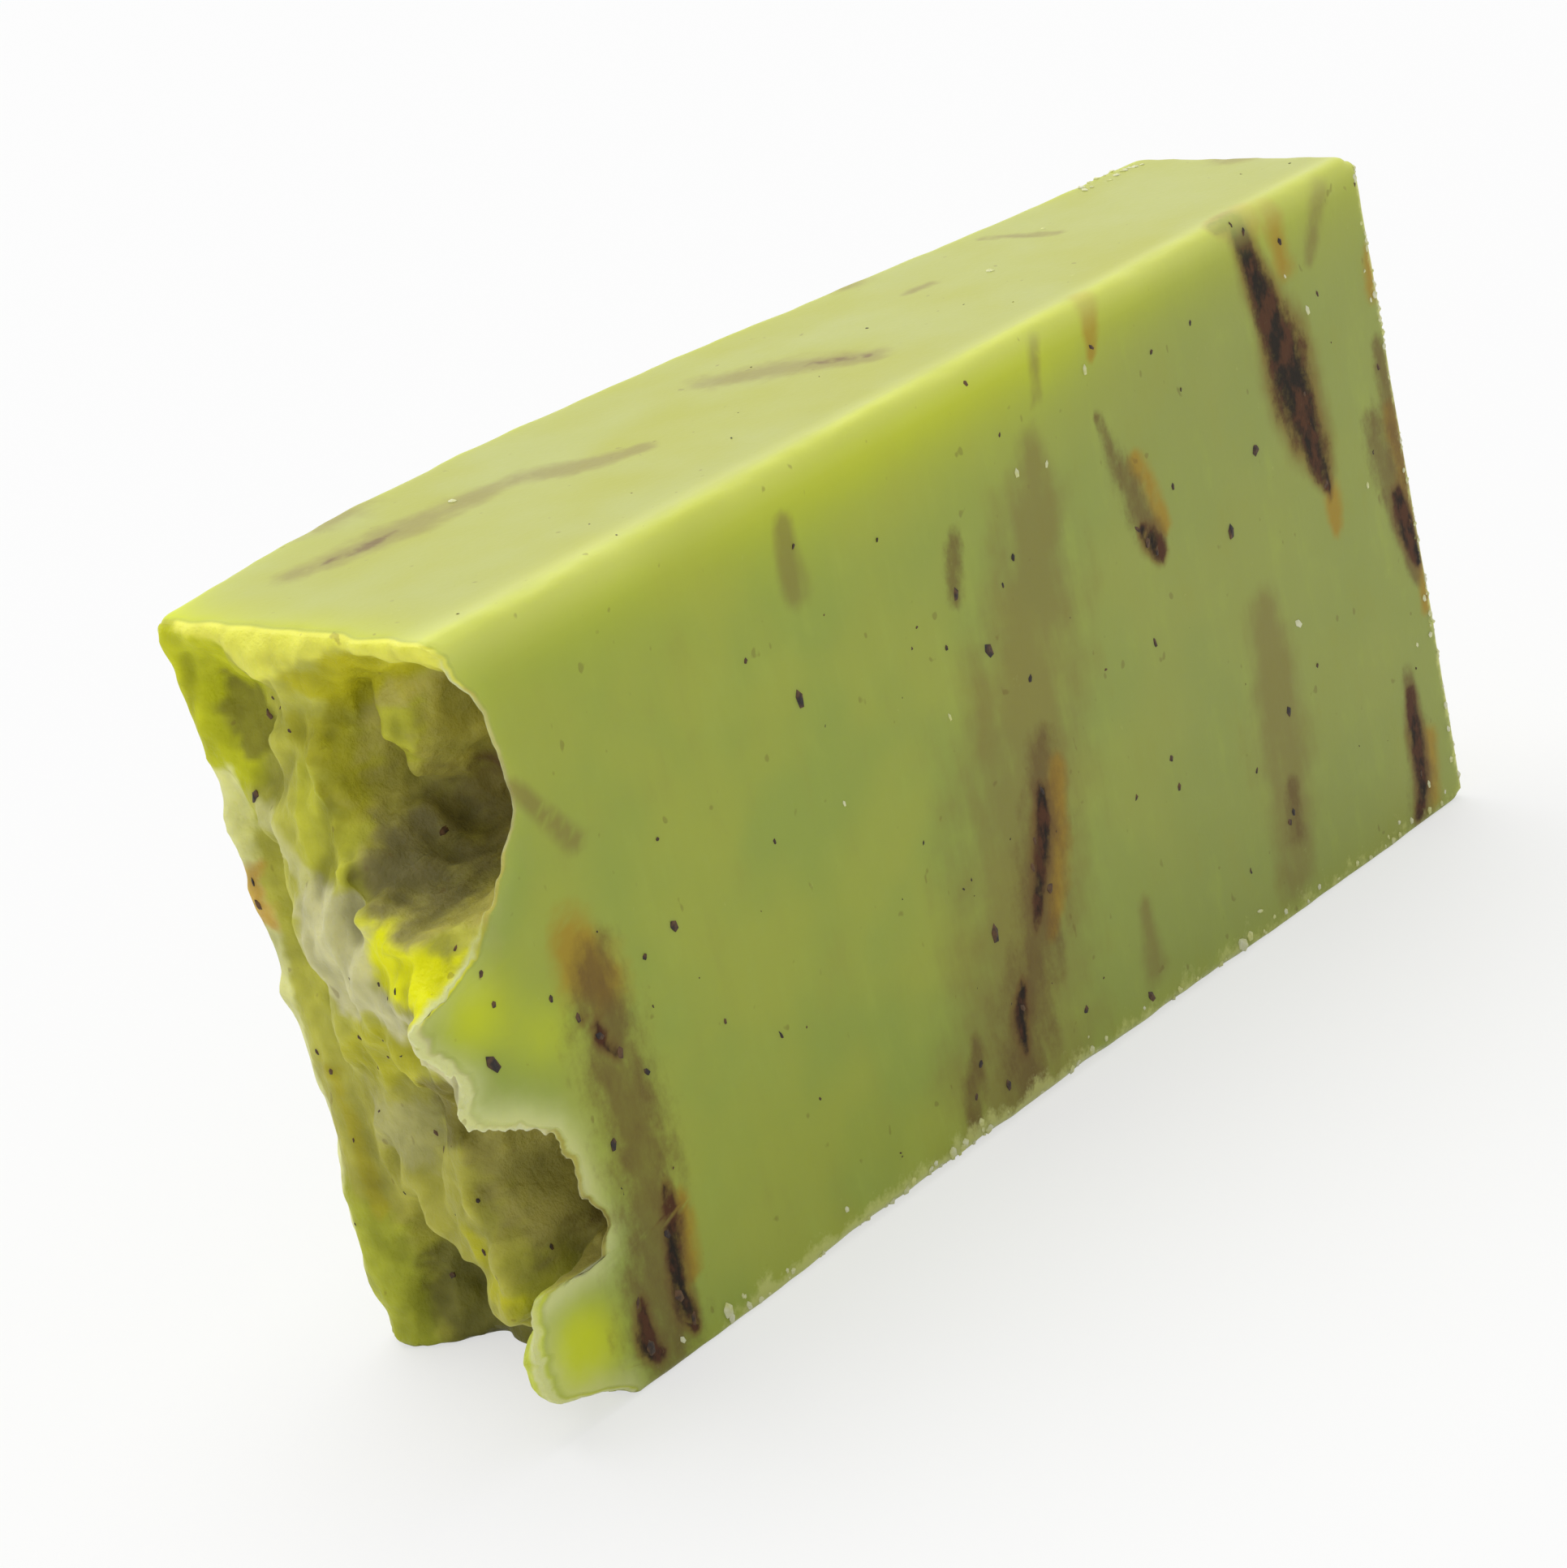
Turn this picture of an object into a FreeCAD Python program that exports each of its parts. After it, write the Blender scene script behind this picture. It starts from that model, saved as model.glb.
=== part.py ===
"""One bar of handmade soap: a slice cut from a moulded block, standing on a mould side.

X runs along the bar, from the rough crust at the open top of the mould (-X) to the smooth
face that lay on the mould's base (+X). The front cut face looks to -Y and the back cut face
to +Y. Z is up. The origin lies on the standing face, halfway between the crust line and the
mould's base, in the middle of the nominal slice. Lengths are in millimetres.
"""
import FreeCAD, Part
import Sketcher
import math
import os

doc = FreeCAD.newDocument("soap_bar")

# The driving dimensions, kept in a sheet

SIZES = {
    "bar_length": 92.0,          # crust line to mould base
    "mould_width": 50.0,         # the standing height
    "slice_thickness": 24.0,     # nominal cut, shared evenly about Y = 0
    "crust_top_extra": 0.6,      # the knife wandered: difference from the nominal cut at the
    "crust_foot_extra": -1.8,    # top and the foot of the crust end, and at the base end
    "base_extra": -4.8,
    "bow_top": 4.6,              # swell of the back cut face along its top and its foot
    "bow_foot": 2.0,
    "mould_corner_radius": 1.6,
    "cut_edge_radius": 1.0,      # handling rounds the front rim and bevels the back one
}

# Each form of the crust is a tilted oval swelling or hollow. In order: distance behind the
# front cut face, distance up from its level, height out of the crust line (negative goes
# into the bar), reach along its own line, reach across it, lean of that line to the back.
CRUST_FORMS = {
    "front_ridge": (2.3, 0.6, 8.9, 8.8, 6.2, 52.0),
    "upper_crater": (4.6, -12.5, -9.4, 8.7, 4.8, -9.0),
    "rim_ridge": (5.5, 7.2, 6.4, 6.8, 3.2, 63.0),
    "pale_lobe": (13.7, 3.8, 1.8, 11.0, 3.2, 1.0),
    "tongue": (6.0, 10.3, 4.2, 6.8, 3.8, 3.0),
    "lower_crater": (2.6, 15.6, -6.7, 10.9, 3.2, 3.0),
    "front_tooth": (-0.5, 5.5, 8.9, 4.4, 4.4, -17.0),
    "column_recess": (14.8, 6.7, -3.9, 6.2, 3.2, 14.0),
    "foot_hollow": (7.2, 1.8, -3.1, 5.5, 8.0, -16.0),
    "back_column": (17.0, 9.0, 2.1, 8.4, 4.2, -23.0),
    "top_pocket": (19.4, -6.1, -2.2, 3.2, 3.2, 0.0),
}
FORM_CELLS = ("behind", "up", "height", "along", "across", "lean")

# The level that each form's distance up is measured from, so that it stays by its own edge.
FROM_TOP = ("upper_crater", "top_pocket")
FROM_MIDDLE = ("front_ridge", "rim_ridge", "pale_lobe")

# How abruptly a form ends: 2 fades like a bell, and more gives steeper sides.
STEEPNESS = 2.0

# Spacing of the points that carry the free surfaces, and how far those run past the block.
CRUST_STATION = 1.8
KNIFE_STATION = 24.0
OVERLAP = 3.0
NEAR = 1e-3

for form, numbers in CRUST_FORMS.items():
    for cell, number in zip(FORM_CELLS, numbers):
        SIZES[form + "_" + cell] = number

sheet = doc.addObject("Spreadsheet::Sheet", "sizes")
for row, (alias, number) in enumerate(SIZES.items(), start=1):
    sheet.set("A%d" % row, alias)
    sheet.set("B%d" % row, str(number))
    sheet.setAlias("B%d" % row, alias)
doc.recompute()


def size(alias):
    """The number in one cell of the sheet."""
    return float(sheet.get(alias))


# The uncut block reaches past the tallest crust and the thickest swell, to be cut back.
PEAKS = " + ".join("sizes.%s_height" % form for form, numbers in CRUST_FORMS.items() if numbers[2] > 0)
OPEN_END = "sizes.bar_length / 2 + " + PEAKS
BLOCK_BACK = "sizes.slice_thickness / 2 + abs(sizes.crust_top_extra) + sizes.bow_top + sizes.bow_foot"

base_level = size("bar_length") / 2
front_level = -size("slice_thickness") / 2


# The cast block: the mould's section, thick enough for the slice and its swell

START, END = 1, 2
SKETCH_ORIGIN = (-1, 1)
SKETCH_X_AXIS = -1


def line(sketch, start, end):
    """Add one straight edge to a sketch and return its number."""
    return sketch.addGeometry(Part.LineSegment(FreeCAD.Vector(*start, 0), FreeCAD.Vector(*end, 0)))


def dimension(sketch, kind, first, second, expression):
    """Hold the distance between two points of a sketch to an expression on the sheet."""
    number = sketch.addConstraint(Sketcher.Constraint(kind, *first, *second, base_level))
    sketch.setExpression("Constraints[%d]" % number, expression)


def mould_section(body):
    """Draw the section of the mould, from its base to beyond the crust."""
    sketch = body.newObject("Sketcher::SketchObject", "mould_section")
    plane = [f for f in body.Origin.OriginFeatures if f.Role == "XZ_Plane"][0]
    sketch.AttachmentSupport = (plane, [""])
    sketch.MapMode = "FlatFace"
    left, right, top = -2 * base_level, base_level, size("mould_width")
    foot = line(sketch, (left, 0), (right, 0))
    base = line(sketch, (right, 0), (right, top))
    lid = line(sketch, (right, top), (left, top))
    open_end = line(sketch, (left, top), (left, 0))
    for first, second in ((foot, base), (base, lid), (lid, open_end), (open_end, foot)):
        sketch.addConstraint(Sketcher.Constraint("Coincident", first, END, second, START))
    for edge in (foot, lid):
        sketch.addConstraint(Sketcher.Constraint("Horizontal", edge))
    for edge in (base, open_end):
        sketch.addConstraint(Sketcher.Constraint("Vertical", edge))
    sketch.addConstraint(Sketcher.Constraint("PointOnObject", foot, START, SKETCH_X_AXIS))
    dimension(sketch, "DistanceY", (base, START), (base, END), "sizes.mould_width")
    dimension(sketch, "DistanceX", SKETCH_ORIGIN, (base, START), "sizes.bar_length / 2")
    dimension(sketch, "DistanceX", (open_end, END), SKETCH_ORIGIN, OPEN_END)
    return sketch


def cast_block(body):
    """Pad the section from the front cut face to behind the back one."""
    pad = body.newObject("PartDesign::Pad", "slice")
    pad.Profile = mould_section(body)
    pad.SideType = "Two sides"
    pad.setExpression("Length", "sizes.slice_thickness / 2")
    pad.setExpression("Length2", BLOCK_BACK)
    doc.recompute()
    return pad


def round_off(body, name, radius, test):
    """Round the edges of a body whose middle point passes a test."""
    last = body.Tip
    names = []
    for number, edge in enumerate(last.Shape.Edges, start=1):
        if test(edge.valueAt((edge.FirstParameter + edge.LastParameter) / 2)):
            names.append("Edge%d" % number)
    fillet = body.newObject("PartDesign::Fillet", name)
    fillet.Base = (last, names)
    fillet.setExpression("Radius", radius)
    doc.recompute()


def is_mould_corner(point):
    """True on the two long corners where the mould's sides met its base."""
    return abs(point.x - base_level) < NEAR and min(point.z, size("mould_width") - point.z) < NEAR


def is_front_rim(point):
    """True on the edges round the front cut face, apart from the uncut open end."""
    return abs(point.y - front_level) < NEAR and point.x > block.Shape.BoundBox.XMin + NEAR


body = doc.addObject("PartDesign::Body", "cast_block")
block = cast_block(body)
round_off(body, "mould_corners", "sizes.mould_corner_radius", is_mould_corner)
round_off(body, "front_rim", "sizes.cut_edge_radius", is_front_rim)


# What the knife and the mould's open top leave is cut from the block by swept surfaces


def evenly(first, last, step):
    """Values from first to last, no further apart than step."""
    count = math.ceil((last - first) / step) + 1
    return [first + (last - first) * i / (count - 1) for i in range(count)]


def swept_solid(name, shape, direction, length):
    """The solid that a surface sweeps along one axis, past the whole block."""
    surface = doc.addObject("Part::Feature", name + "_surface")
    surface.Shape = shape
    sweep = doc.addObject("Part::Extrusion", name)
    sweep.Base = surface
    sweep.DirMode = "Custom"
    sweep.Dir = FreeCAD.Vector(*direction)
    sweep.Solid = True
    sweep.setExpression("LengthFwd", length)
    return sweep


def cut(name, base, tool):
    """What is left of a base after a tool is taken from it."""
    result = doc.addObject("Part::Cut", name)
    result.Base = base
    result.Tool = tool
    doc.recompute()
    return result


# The back cut face: a knife's path that leaves the slice thicker near the crust


def between(low, high, share):
    """The value at a share of the way from low to high."""
    return low + (high - low) * share


def slice_depth(x, z):
    """Distance from the front cut face to the back one at a place on the slice."""
    along = (x + base_level) / size("bar_length")
    inside = min(max(along, 0.0), 1.0)
    up = min(max(z / size("mould_width"), 0.0), 1.0)
    crust_extra = between(size("crust_foot_extra"), size("crust_top_extra"), up)
    bow = between(size("bow_foot"), size("bow_top"), up)
    # this curve is highest, at 1, a third of the way from the crust to the base
    swell = 27 / 4 * inside * (1 - inside) ** 2
    return size("slice_thickness") + between(crust_extra, size("base_extra"), along) + bow * swell


def knife_line(z):
    """The path of the knife at one height, run out past both ends of the block."""
    first = block.Shape.BoundBox.XMin - OVERLAP
    curve = Part.BSplineCurve()
    curve.interpolate([FreeCAD.Vector(x, front_level + slice_depth(x, z), z)
                       for x in evenly(first, base_level + OVERLAP, KNIFE_STATION)])
    return curve.toShape()


def back_cut():
    """Cut the block along the knife's path and bevel the new rim."""
    path = Part.makeRuledSurface(knife_line(-OVERLAP), knife_line(size("mould_width") + OVERLAP))
    sliced = cut("sliced_block", body, swept_solid("offcut", path, (0, 1, 0), "sizes.slice_thickness * 2"))
    back = max(sliced.Shape.Faces, key=lambda face: face.CenterOfMass.y)
    open_end = sliced.Shape.BoundBox.XMin + NEAR
    rim = [edge for edge in back.Edges if edge.CenterOfMass.x > open_end]
    numbers = [number for number, edge in enumerate(sliced.Shape.Edges, start=1)
               if any(edge.isSame(other) for other in rim)]
    bevel = doc.addObject("Part::Chamfer", "back_rim")
    bevel.Base = sliced
    bevel.Edges = [(number, size("cut_edge_radius"), size("cut_edge_radius")) for number in numbers]
    doc.recompute()
    return bevel


# The crust: hollows, folds and peaks that the open top of the mould left


def level_of(form):
    """The level that a form's distance up starts from."""
    if form in FROM_TOP:
        return size("mould_width")
    if form in FROM_MIDDLE:
        return size("mould_width") / 2
    return 0.0


def form_height(form, behind, up):
    """The height that one form adds at a place on the crust."""
    lean = math.radians(size(form + "_lean"))
    side = behind - size(form + "_behind")
    rise = up - size(form + "_up") - level_of(form)
    along = (side * math.sin(lean) + rise * math.cos(lean)) / size(form + "_along")
    across = (side * math.cos(lean) - rise * math.sin(lean)) / size(form + "_across")
    return size(form + "_height") * math.exp(-math.hypot(along, across) ** STEEPNESS)


def crust_height(behind, up):
    """How far the crust stands out of the crust line at one place."""
    return sum(form_height(form, behind, up) for form in CRUST_FORMS)


def crust_cut(sliced):
    """Take away the air above the crust."""
    top = size("mould_width")
    deepest = sliced.Shape.BoundBox.YMax - front_level
    rows = []
    for behind in evenly(-OVERLAP, deepest + OVERLAP, CRUST_STATION):
        rows.append([FreeCAD.Vector(-base_level - crust_height(behind, up), front_level + behind, up)
                     for up in evenly(-OVERLAP, top + OVERLAP, CRUST_STATION)])
    crust = Part.BSplineSurface()
    crust.interpolate(rows)
    air = swept_solid("air_above_crust", crust.toShape(), (-1, 0, 0), "2 * (%s)" % OPEN_END)
    return cut("soap_bar", sliced, air)


soap_bar = crust_cut(back_cut())
soap_bar.Label = "soap_bar"

# Nothing is written unless every object built and each part is one sound solid

for item in doc.Objects:
    if "Invalid" in item.State or "Error" in item.State:
        raise RuntimeError("%s did not build" % item.Label)
PARTS = [soap_bar]
for part in PARTS:
    if part.Shape.isNull() or not part.Shape.isValid() or len(part.Shape.Solids) != 1:
        raise RuntimeError("%s is not one sound solid" % part.Label)

os.makedirs("parts", exist_ok=True)
for part in PARTS:
    part.Shape.exportStep("parts/%s.step" % part.Label)
    box = part.Shape.optimalBoundingBox()
    print(part.Label, "volume %.0f mm3, box %.2f x %.2f x %.2f mm" %
          (part.Shape.Volume, box.XLength, box.YLength, box.ZLength))
    print("x %.2f to %.2f, y %.2f to %.2f, z %.2f to %.2f" %
          (box.XMin, box.XMax, box.YMin, box.YMax, box.ZMin, box.ZMax))
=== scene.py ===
# %% [markdown]
# # A bar of handmade soap
# The real thing is a slice. The soap was poured into a long mould, set, turned out and cut across
# with a knife. So the bar has four kinds of surface: two cut faces, smooth and a little waxy; three
# sides that touched the mould; a ragged crust, which was the open top of the mould; and the worn
# edges between them. Lengths in the code are in millimetres, unless it says metres.

import bmesh
import bpy
import numpy as np
from mathutils import Matrix, Vector, noise
from mathutils.bvhtree import BVHTree


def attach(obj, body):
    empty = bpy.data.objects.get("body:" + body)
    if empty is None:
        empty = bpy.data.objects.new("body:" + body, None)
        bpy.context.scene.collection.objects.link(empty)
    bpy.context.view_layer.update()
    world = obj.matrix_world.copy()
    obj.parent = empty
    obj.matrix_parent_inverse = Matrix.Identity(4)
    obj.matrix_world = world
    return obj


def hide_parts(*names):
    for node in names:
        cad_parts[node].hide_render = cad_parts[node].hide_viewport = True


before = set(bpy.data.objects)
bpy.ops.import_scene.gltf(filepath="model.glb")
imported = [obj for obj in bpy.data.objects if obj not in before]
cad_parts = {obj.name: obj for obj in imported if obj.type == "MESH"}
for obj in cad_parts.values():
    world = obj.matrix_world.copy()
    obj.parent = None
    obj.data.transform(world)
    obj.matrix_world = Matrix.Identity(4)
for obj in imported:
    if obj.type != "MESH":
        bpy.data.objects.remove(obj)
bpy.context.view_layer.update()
MM = 0.001

# %% [markdown]
# ## The block and its two cuts
# The block is thought of as a plain box first: x along the bar, u behind the front cut face and z
# up. The second cut wandered, so the slice is thicker near the crust. That is one function.

# %% The slice
CRUST_X, BASE_X = -46.0, 46.0
FRONT_Y, SLICE, HEIGHT = -12.0, 24.0, 50.0


def slice_depth(x, z):
    """How thick the slice is at a place."""
    along = np.clip((x - CRUST_X) / (BASE_X - CRUST_X), 0, 1)
    up = np.clip(z / HEIGHT, 0, 1)
    trend = SLICE + (1 - along) * (-1.8 + 2.4 * up) - 4.8 * along
    return trend + (2.0 + 2.6 * up) * 27 / 4 * along * (1 - along) ** 2


print("slice at the crust, middle and base:", slice_depth(np.array([-46, 0, 46]), 50.0).round(1))

# %% [markdown]
# ## The relief of the crust
# The crust has two craters, a crest between them, a tongue, a hollow and a smooth column. A few
# lumps can't give all that, so its height out of the crust line is written down at places in rows,
# as a surveyor does, and a smooth surface is laid through them.

# %% Heights of the crust, row by row
# Each row is at a height up the bar; in it, how far behind the front face, then how far out.
CRUST_ROWS = {
    50.0: {0: 0.0, 4: 0.0, 8: 0.0, 12: 0.1, 16: 0.2, 20: 0.4, 23: 0.6, 24.6: 0.6},
    48.8: {0: -0.6, 2: -0.1, 4.5: -0.3, 6.5: 0.0, 8.7: -0.2, 11: 0.3, 14: 0.5, 18: 0.6, 21: 0.6, 24.4: 0.6},
    47.2: {0: -1.2, 1.5: -2.0, 3.2: -3.0, 6: -3.2, 8.4: -2.2, 10.2: -1.0, 12.2: 0.2, 15: 0.5, 17.5: 0.3,
           19.4: -1.0, 22: -0.6, 24.2: 0.5},
    45.2: {0: -2.4, 1.8: -5.0, 4.4: -5.4, 6.2: -2.6, 8.2: -2.2, 9.6: -3.6, 11.4: -0.8, 13: -0.4, 15: -0.4,
           17: -1.6, 19.5: -2.3, 21.8: -1.6, 23: 0.0, 24.1: 0.4},
    42.6: {0: -3.0, 2: -6.2, 4.6: -6.8, 6.0: -2.8, 8.4: -2.4, 9.6: -5.0, 10.9: 0.4, 12.4: 1.0, 14.2: 0.0,
           16.4: 0.2, 17.6: -1.4, 20: -1.8, 22: -0.9, 23.2: 0.1, 24: 0.2},
    40.2: {0: -3.2, 2.2: -6.8, 5: -7.8, 6.8: -5.6, 8.4: -3.2, 9.7: -4.6, 10.9: 0.8, 12.4: 1.2, 14.2: 0.8,
           16.6: 0.5, 18.4: -0.8, 20: -0.7, 22: -0.3, 23.8: -0.1},
    38.0: {0: -3.0, 2.4: -7.2, 5.4: -8.4, 7.6: -7.0, 9.4: -3.6, 10.6: 1.0, 12: 1.6, 14: 1.5, 16.4: 1.1,
           18.4: 0.3, 20.4: 0.0, 22.2: -0.9, 23.7: -0.2},
    36.0: {0: -1.4, 2.2: -6.6, 5: -8.2, 7: -6.6, 8.3: -1.0, 9.2: 1.9, 11: 2.1, 13: 1.8, 15.4: 1.6,
           17.6: 0.8, 19.4: 0.2, 21.2: -1.1, 22.6: -0.1, 23.6: 0.1},
    34.5: {0: -0.2, 1.6: -4.6, 4: -5.6, 5.8: -3.0, 7.0: 2.4, 8.6: 3.0, 10.8: 2.6, 13.4: 2.3, 16: 1.4,
           18: 0.5, 19.9: -1.2, 21.4: -0.6, 22.6: 0.1, 23.5: 0.1},
    33.2: {0: 0.8, 1.4: 0.6, 2.8: 2.8, 4.4: 3.2, 6.4: 3.4, 9: 3.0, 12: 2.7, 15.6: 1.9, 17.6: 0.8,
           19.3: -1.2, 21: -0.6, 22.2: 0.1, 23.4: 0.1},
    31.4: {0: 3.0, 1.6: 4.0, 3.4: 4.3, 5.6: 4.1, 8.4: 3.5, 11.4: 3.1, 14.6: 2.5, 17.2: 1.2, 19.1: -1.1,
           20.9: -0.5, 22.1: 0.1, 23.3: 0.1},
    29.6: {0: 7.8, 1.6: 6.8, 3.6: 5.6, 6: 4.6, 8.6: 3.9, 11.6: 3.3, 14.6: 2.4, 17: 1.0, 19.1: -1.1,
           20.9: -0.5, 22.1: 0.1, 23.2: 0.0},
    27.2: {0: 7.6, 2.5: 6.2, 5: 4.8, 7.8: 3.9, 10.6: 3.0, 13.2: 2.3, 15.8: 1.4, 17.4: 0.3, 18.9: -0.9,
           20.8: -0.3, 22: 0.1, 23.1: 0.0},
    24.6: {0: 5.9, 2.2: 5.0, 4.6: 4.1, 6.6: 3.4, 8.0: 3.6, 9.6: 2.6, 11.2: 3.2, 13: 2.2, 15: 2.3,
           16.8: 1.0, 18.5: -0.5, 20.8: 0.1, 22.9: -0.1},
    22.4: {0: 6.2, 1.8: 4.6, 4: 2.8, 6.4: 3.2, 8.2: 2.9, 9.8: 1.8, 12: 1.8, 14: 2.1, 16: 1.8, 17.6: 0.1,
           20: 0.2, 22.8: -0.3},
    20.2: {0: 2.5, 1.4: -1.0, 3.4: -1.4, 5.2: 0.2, 6.7: 1.4, 8.6: 1.2, 10.6: 1.4, 13.4: 1.5, 16: 1.0,
           17.8: 0.1, 20.4: 0.3, 22.8: -0.5},
    17.2: {0: -0.3, 1.4: -3.8, 3.2: -4.4, 4.6: -1.8, 5.5: 1.7, 7.4: 1.9, 9.3: 1.1, 11.4: 1.2, 13.8: 1.2,
           15.9: 0.9, 17.3: 0.1, 20.4: 0.4, 22.6: -0.6},
    14.0: {0: -0.8, 1.4: -4.4, 3.2: -5.4, 4.7: -2.6, 5.7: 1.9, 7.4: 2.3, 9.2: 1.9, 10.7: 0.8, 12.4: 1.6,
           14: 1.2, 15.6: 0.2, 17.6: 0.1, 20.4: 0.6, 22.5: -0.5},
    11.2: {0: -1.1, 1.2: -4.2, 2.5: -4.6, 3.4: -1.0, 4.1: 2.1, 6: 2.5, 8.2: 2.1, 10.2: 1.0, 11.8: 1.5,
           13.2: 0.6, 14.8: -0.3, 17: -0.1, 19: 0.8, 21: 0.9, 22.4: -0.3},
    8.9: {0: 3.4, 1.0: 1.6, 2.0: -1.6, 2.9: -1.6, 3.7: 2.0, 5.4: 2.8, 7.4: 2.3, 9: 1.2, 10.6: 1.1,
          12: -0.8, 13.6: -2.0, 15.6: -2.2, 17.2: -0.4, 18.8: 0.9, 21: 1.0, 22.3: -0.2},
    6.4: {0: 5.4, 1.5: 4.8, 2.7: 1.8, 3.5: -0.4, 4.3: 1.8, 6: 2.7, 7.6: 2.0, 9: -0.4, 10.8: -2.8,
          13: -3.7, 15.6: -3.7, 17.2: -0.8, 18.8: 1.0, 21: 1.0, 22.2: -0.1},
    3.6: {0: 5.0, 1.6: 4.4, 3: 1.2, 4.4: -1.8, 6.2: -0.8, 8: -1.6, 11: -2.9, 15: -3.3, 17.0: -0.8,
          18.8: 0.9, 21: 0.8, 22.2: -0.1},
    0.0: {0: -0.6, 2: -0.8, 4: -2.0, 8: -2.6, 12: -2.9, 15: -2.7, 16.8: -0.8, 18.8: 0.5, 21: 0.5,
          22.2: -0.3},
}
survey = np.array([(u, v, h) for v, row in CRUST_ROWS.items() for u, h in row.items()])
print("crust surveyed at", len(survey), "places")

# %% The torn edge on the front cut face
# Each corner is a height up the bar, then how far the edge stands out there.
FRONT_EDGE = [
    (50, 0), (47.4, -1.2), (46.2, -2.2), (43.5, -2.8), (41.3, -3.1), (38.3, -3.1), (36.4, -1.7),
    (34.1, 0.0), (31.9, 2.1), (31.1, 3.4), (30.5, 5.6), (29.8, 7.8), (28.5, 8.0), (27, 7.6),
    (24.6, 5.9), (23.1, 6.3), (21.7, 5.8), (21.0, 4.2), (20.2, 2.5), (18.5, 0.3), (16.6, -0.4),
    (13.7, -0.8), (10.6, -1.2), (9.6, -0.9), (9.3, 3.2), (8.9, 4.6), (8.0, 5.2), (6.4, 5.5),
    (3.1, 5.0), (2.6, 3.6), (1.9, 1.4), (1.0, -0.2), (0, -0.6),
]
edge_up, edge_out = np.array(FRONT_EDGE[::-1], float).T
print("corners of the front edge:", len(FRONT_EDGE))

# %% Lay a smooth surface through the survey
ROUNDNESS = 0.7


def stiff_distance(u, v, places):
    du = u[:, None] - places[None, :, 0]
    dv = v[:, None] - places[None, :, 1]
    return np.sqrt(du * du + dv * dv + ROUNDNESS ** 2)


weights = np.linalg.solve(
    stiff_distance(survey[:, 0], survey[:, 1], survey) + 0.02 * np.eye(len(survey)), survey[:, 2]
)


def wobble(points, size, seed):
    """Smooth noise from -1 to 1 at each point, with bumps of about that size in mm."""
    shift = Vector((seed * 7.31, seed * 3.17, seed * 5.73))
    return np.array([noise.noise(Vector(p) / size + shift) for p in points.tolist()])


def crust_height(u, v):
    """How far the crust stands out of the crust line, u behind the front face and v up."""
    height = np.concatenate([
        stiff_distance(a, b, survey) @ weights
        for a, b in zip(np.array_split(u, 1 + len(u) // 8000), np.array_split(v, 1 + len(u) // 8000))
    ])
    at_front = stiff_distance(np.zeros_like(edge_up), edge_up, survey) @ weights
    off = np.interp(v, edge_up, edge_out) - np.interp(v, edge_up, at_front)
    return height + off * np.exp(-(u / 1.4) ** 2)


print("crust from", crust_height(survey[:, 0], survey[:, 1]).min().round(1), "to",
      crust_height(survey[:, 0], survey[:, 1]).max().round(1), "mm out")

# %% [markdown]
# ## The mesh of the block
# The crust needs quads of a fifth of a millimetre, its steep walls a tenth, and the flat faces hardly
# any. A plain box is cut finer only where it matters, and only then pressed into shape.

# %% A box of quads on the x, u, z numbers
def plain_box(cells):
    spans = ((CRUST_X, BASE_X), (0.0, SLICE), (0.0, HEIGHT))
    bm, known = bmesh.new(), {}

    def corner(*ijk):
        if ijk not in known:
            known[ijk] = bm.verts.new([a + (b - a) * i / n for i, n, (a, b) in zip(ijk, cells, spans)])
        return known[ijk]

    for axis in range(3):
        p, q = [a for a in range(3) if a != axis]
        for side in (0, cells[axis]):
            for i in range(cells[p]):
                for j in range(cells[q]):
                    ring = []
                    for di, dj in ((0, 0), (1, 0), (1, 1), (0, 1)):
                        ijk = [0, 0, 0]
                        ijk[axis], ijk[p], ijk[q] = side, i + di, j + dj
                        ring.append(corner(*ijk))
                    bm.faces.new(ring)
    bmesh.ops.recalc_face_normals(bm, faces=bm.faces)
    return bm


box = plain_box((116, 30, 62))
print("faces of the plain box:", len(box.faces))

# %% Cut it finer where it matters
def cut_finer(bm, wanted):
    """Halves every face whose middle the function picks."""
    faces = list(bm.faces)
    middles = np.array([f.calc_center_median() for f in faces])
    picked = wanted(middles[:, 0], middles[:, 1], middles[:, 2])
    edges = {e for f, pick in zip(faces, picked) if pick for e in f.edges}
    bmesh.ops.subdivide_edges(bm, edges=list(edges), cuts=1, use_grid_fill=True)


def near_edges(x, u, z, reach):
    """True within that reach of an edge between two faces of the box."""
    gaps = np.stack([
        np.minimum(x - CRUST_X, BASE_X - x), np.minimum(u, SLICE - u), np.minimum(z, HEIGHT - z)])
    return np.sort(gaps, axis=0)[1] < reach


cut_finer(box, lambda x, u, z: near_edges(x, u, z, 1.5) | (x < CRUST_X + 2.2))
cut_finer(box, lambda x, u, z: x < CRUST_X + 0.9)
print("after two cuts:", len(box.faces))

# %% Cut the steep walls and the torn edge once more
def steep_or_torn(x, u, z):
    depth = u * slice_depth(np.full_like(x, CRUST_X), z) / SLICE
    step = 0.1
    slope = np.hypot(
        crust_height(depth + step, z) - crust_height(depth - step, z),
        crust_height(depth, z + step) - crust_height(depth, z - step),
    ) / (2 * step)
    return (x < CRUST_X + 0.45) & ((slope > 2.0) | (u < 1.3)) & (z > 0.3) & (u < SLICE - 0.5)


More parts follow.
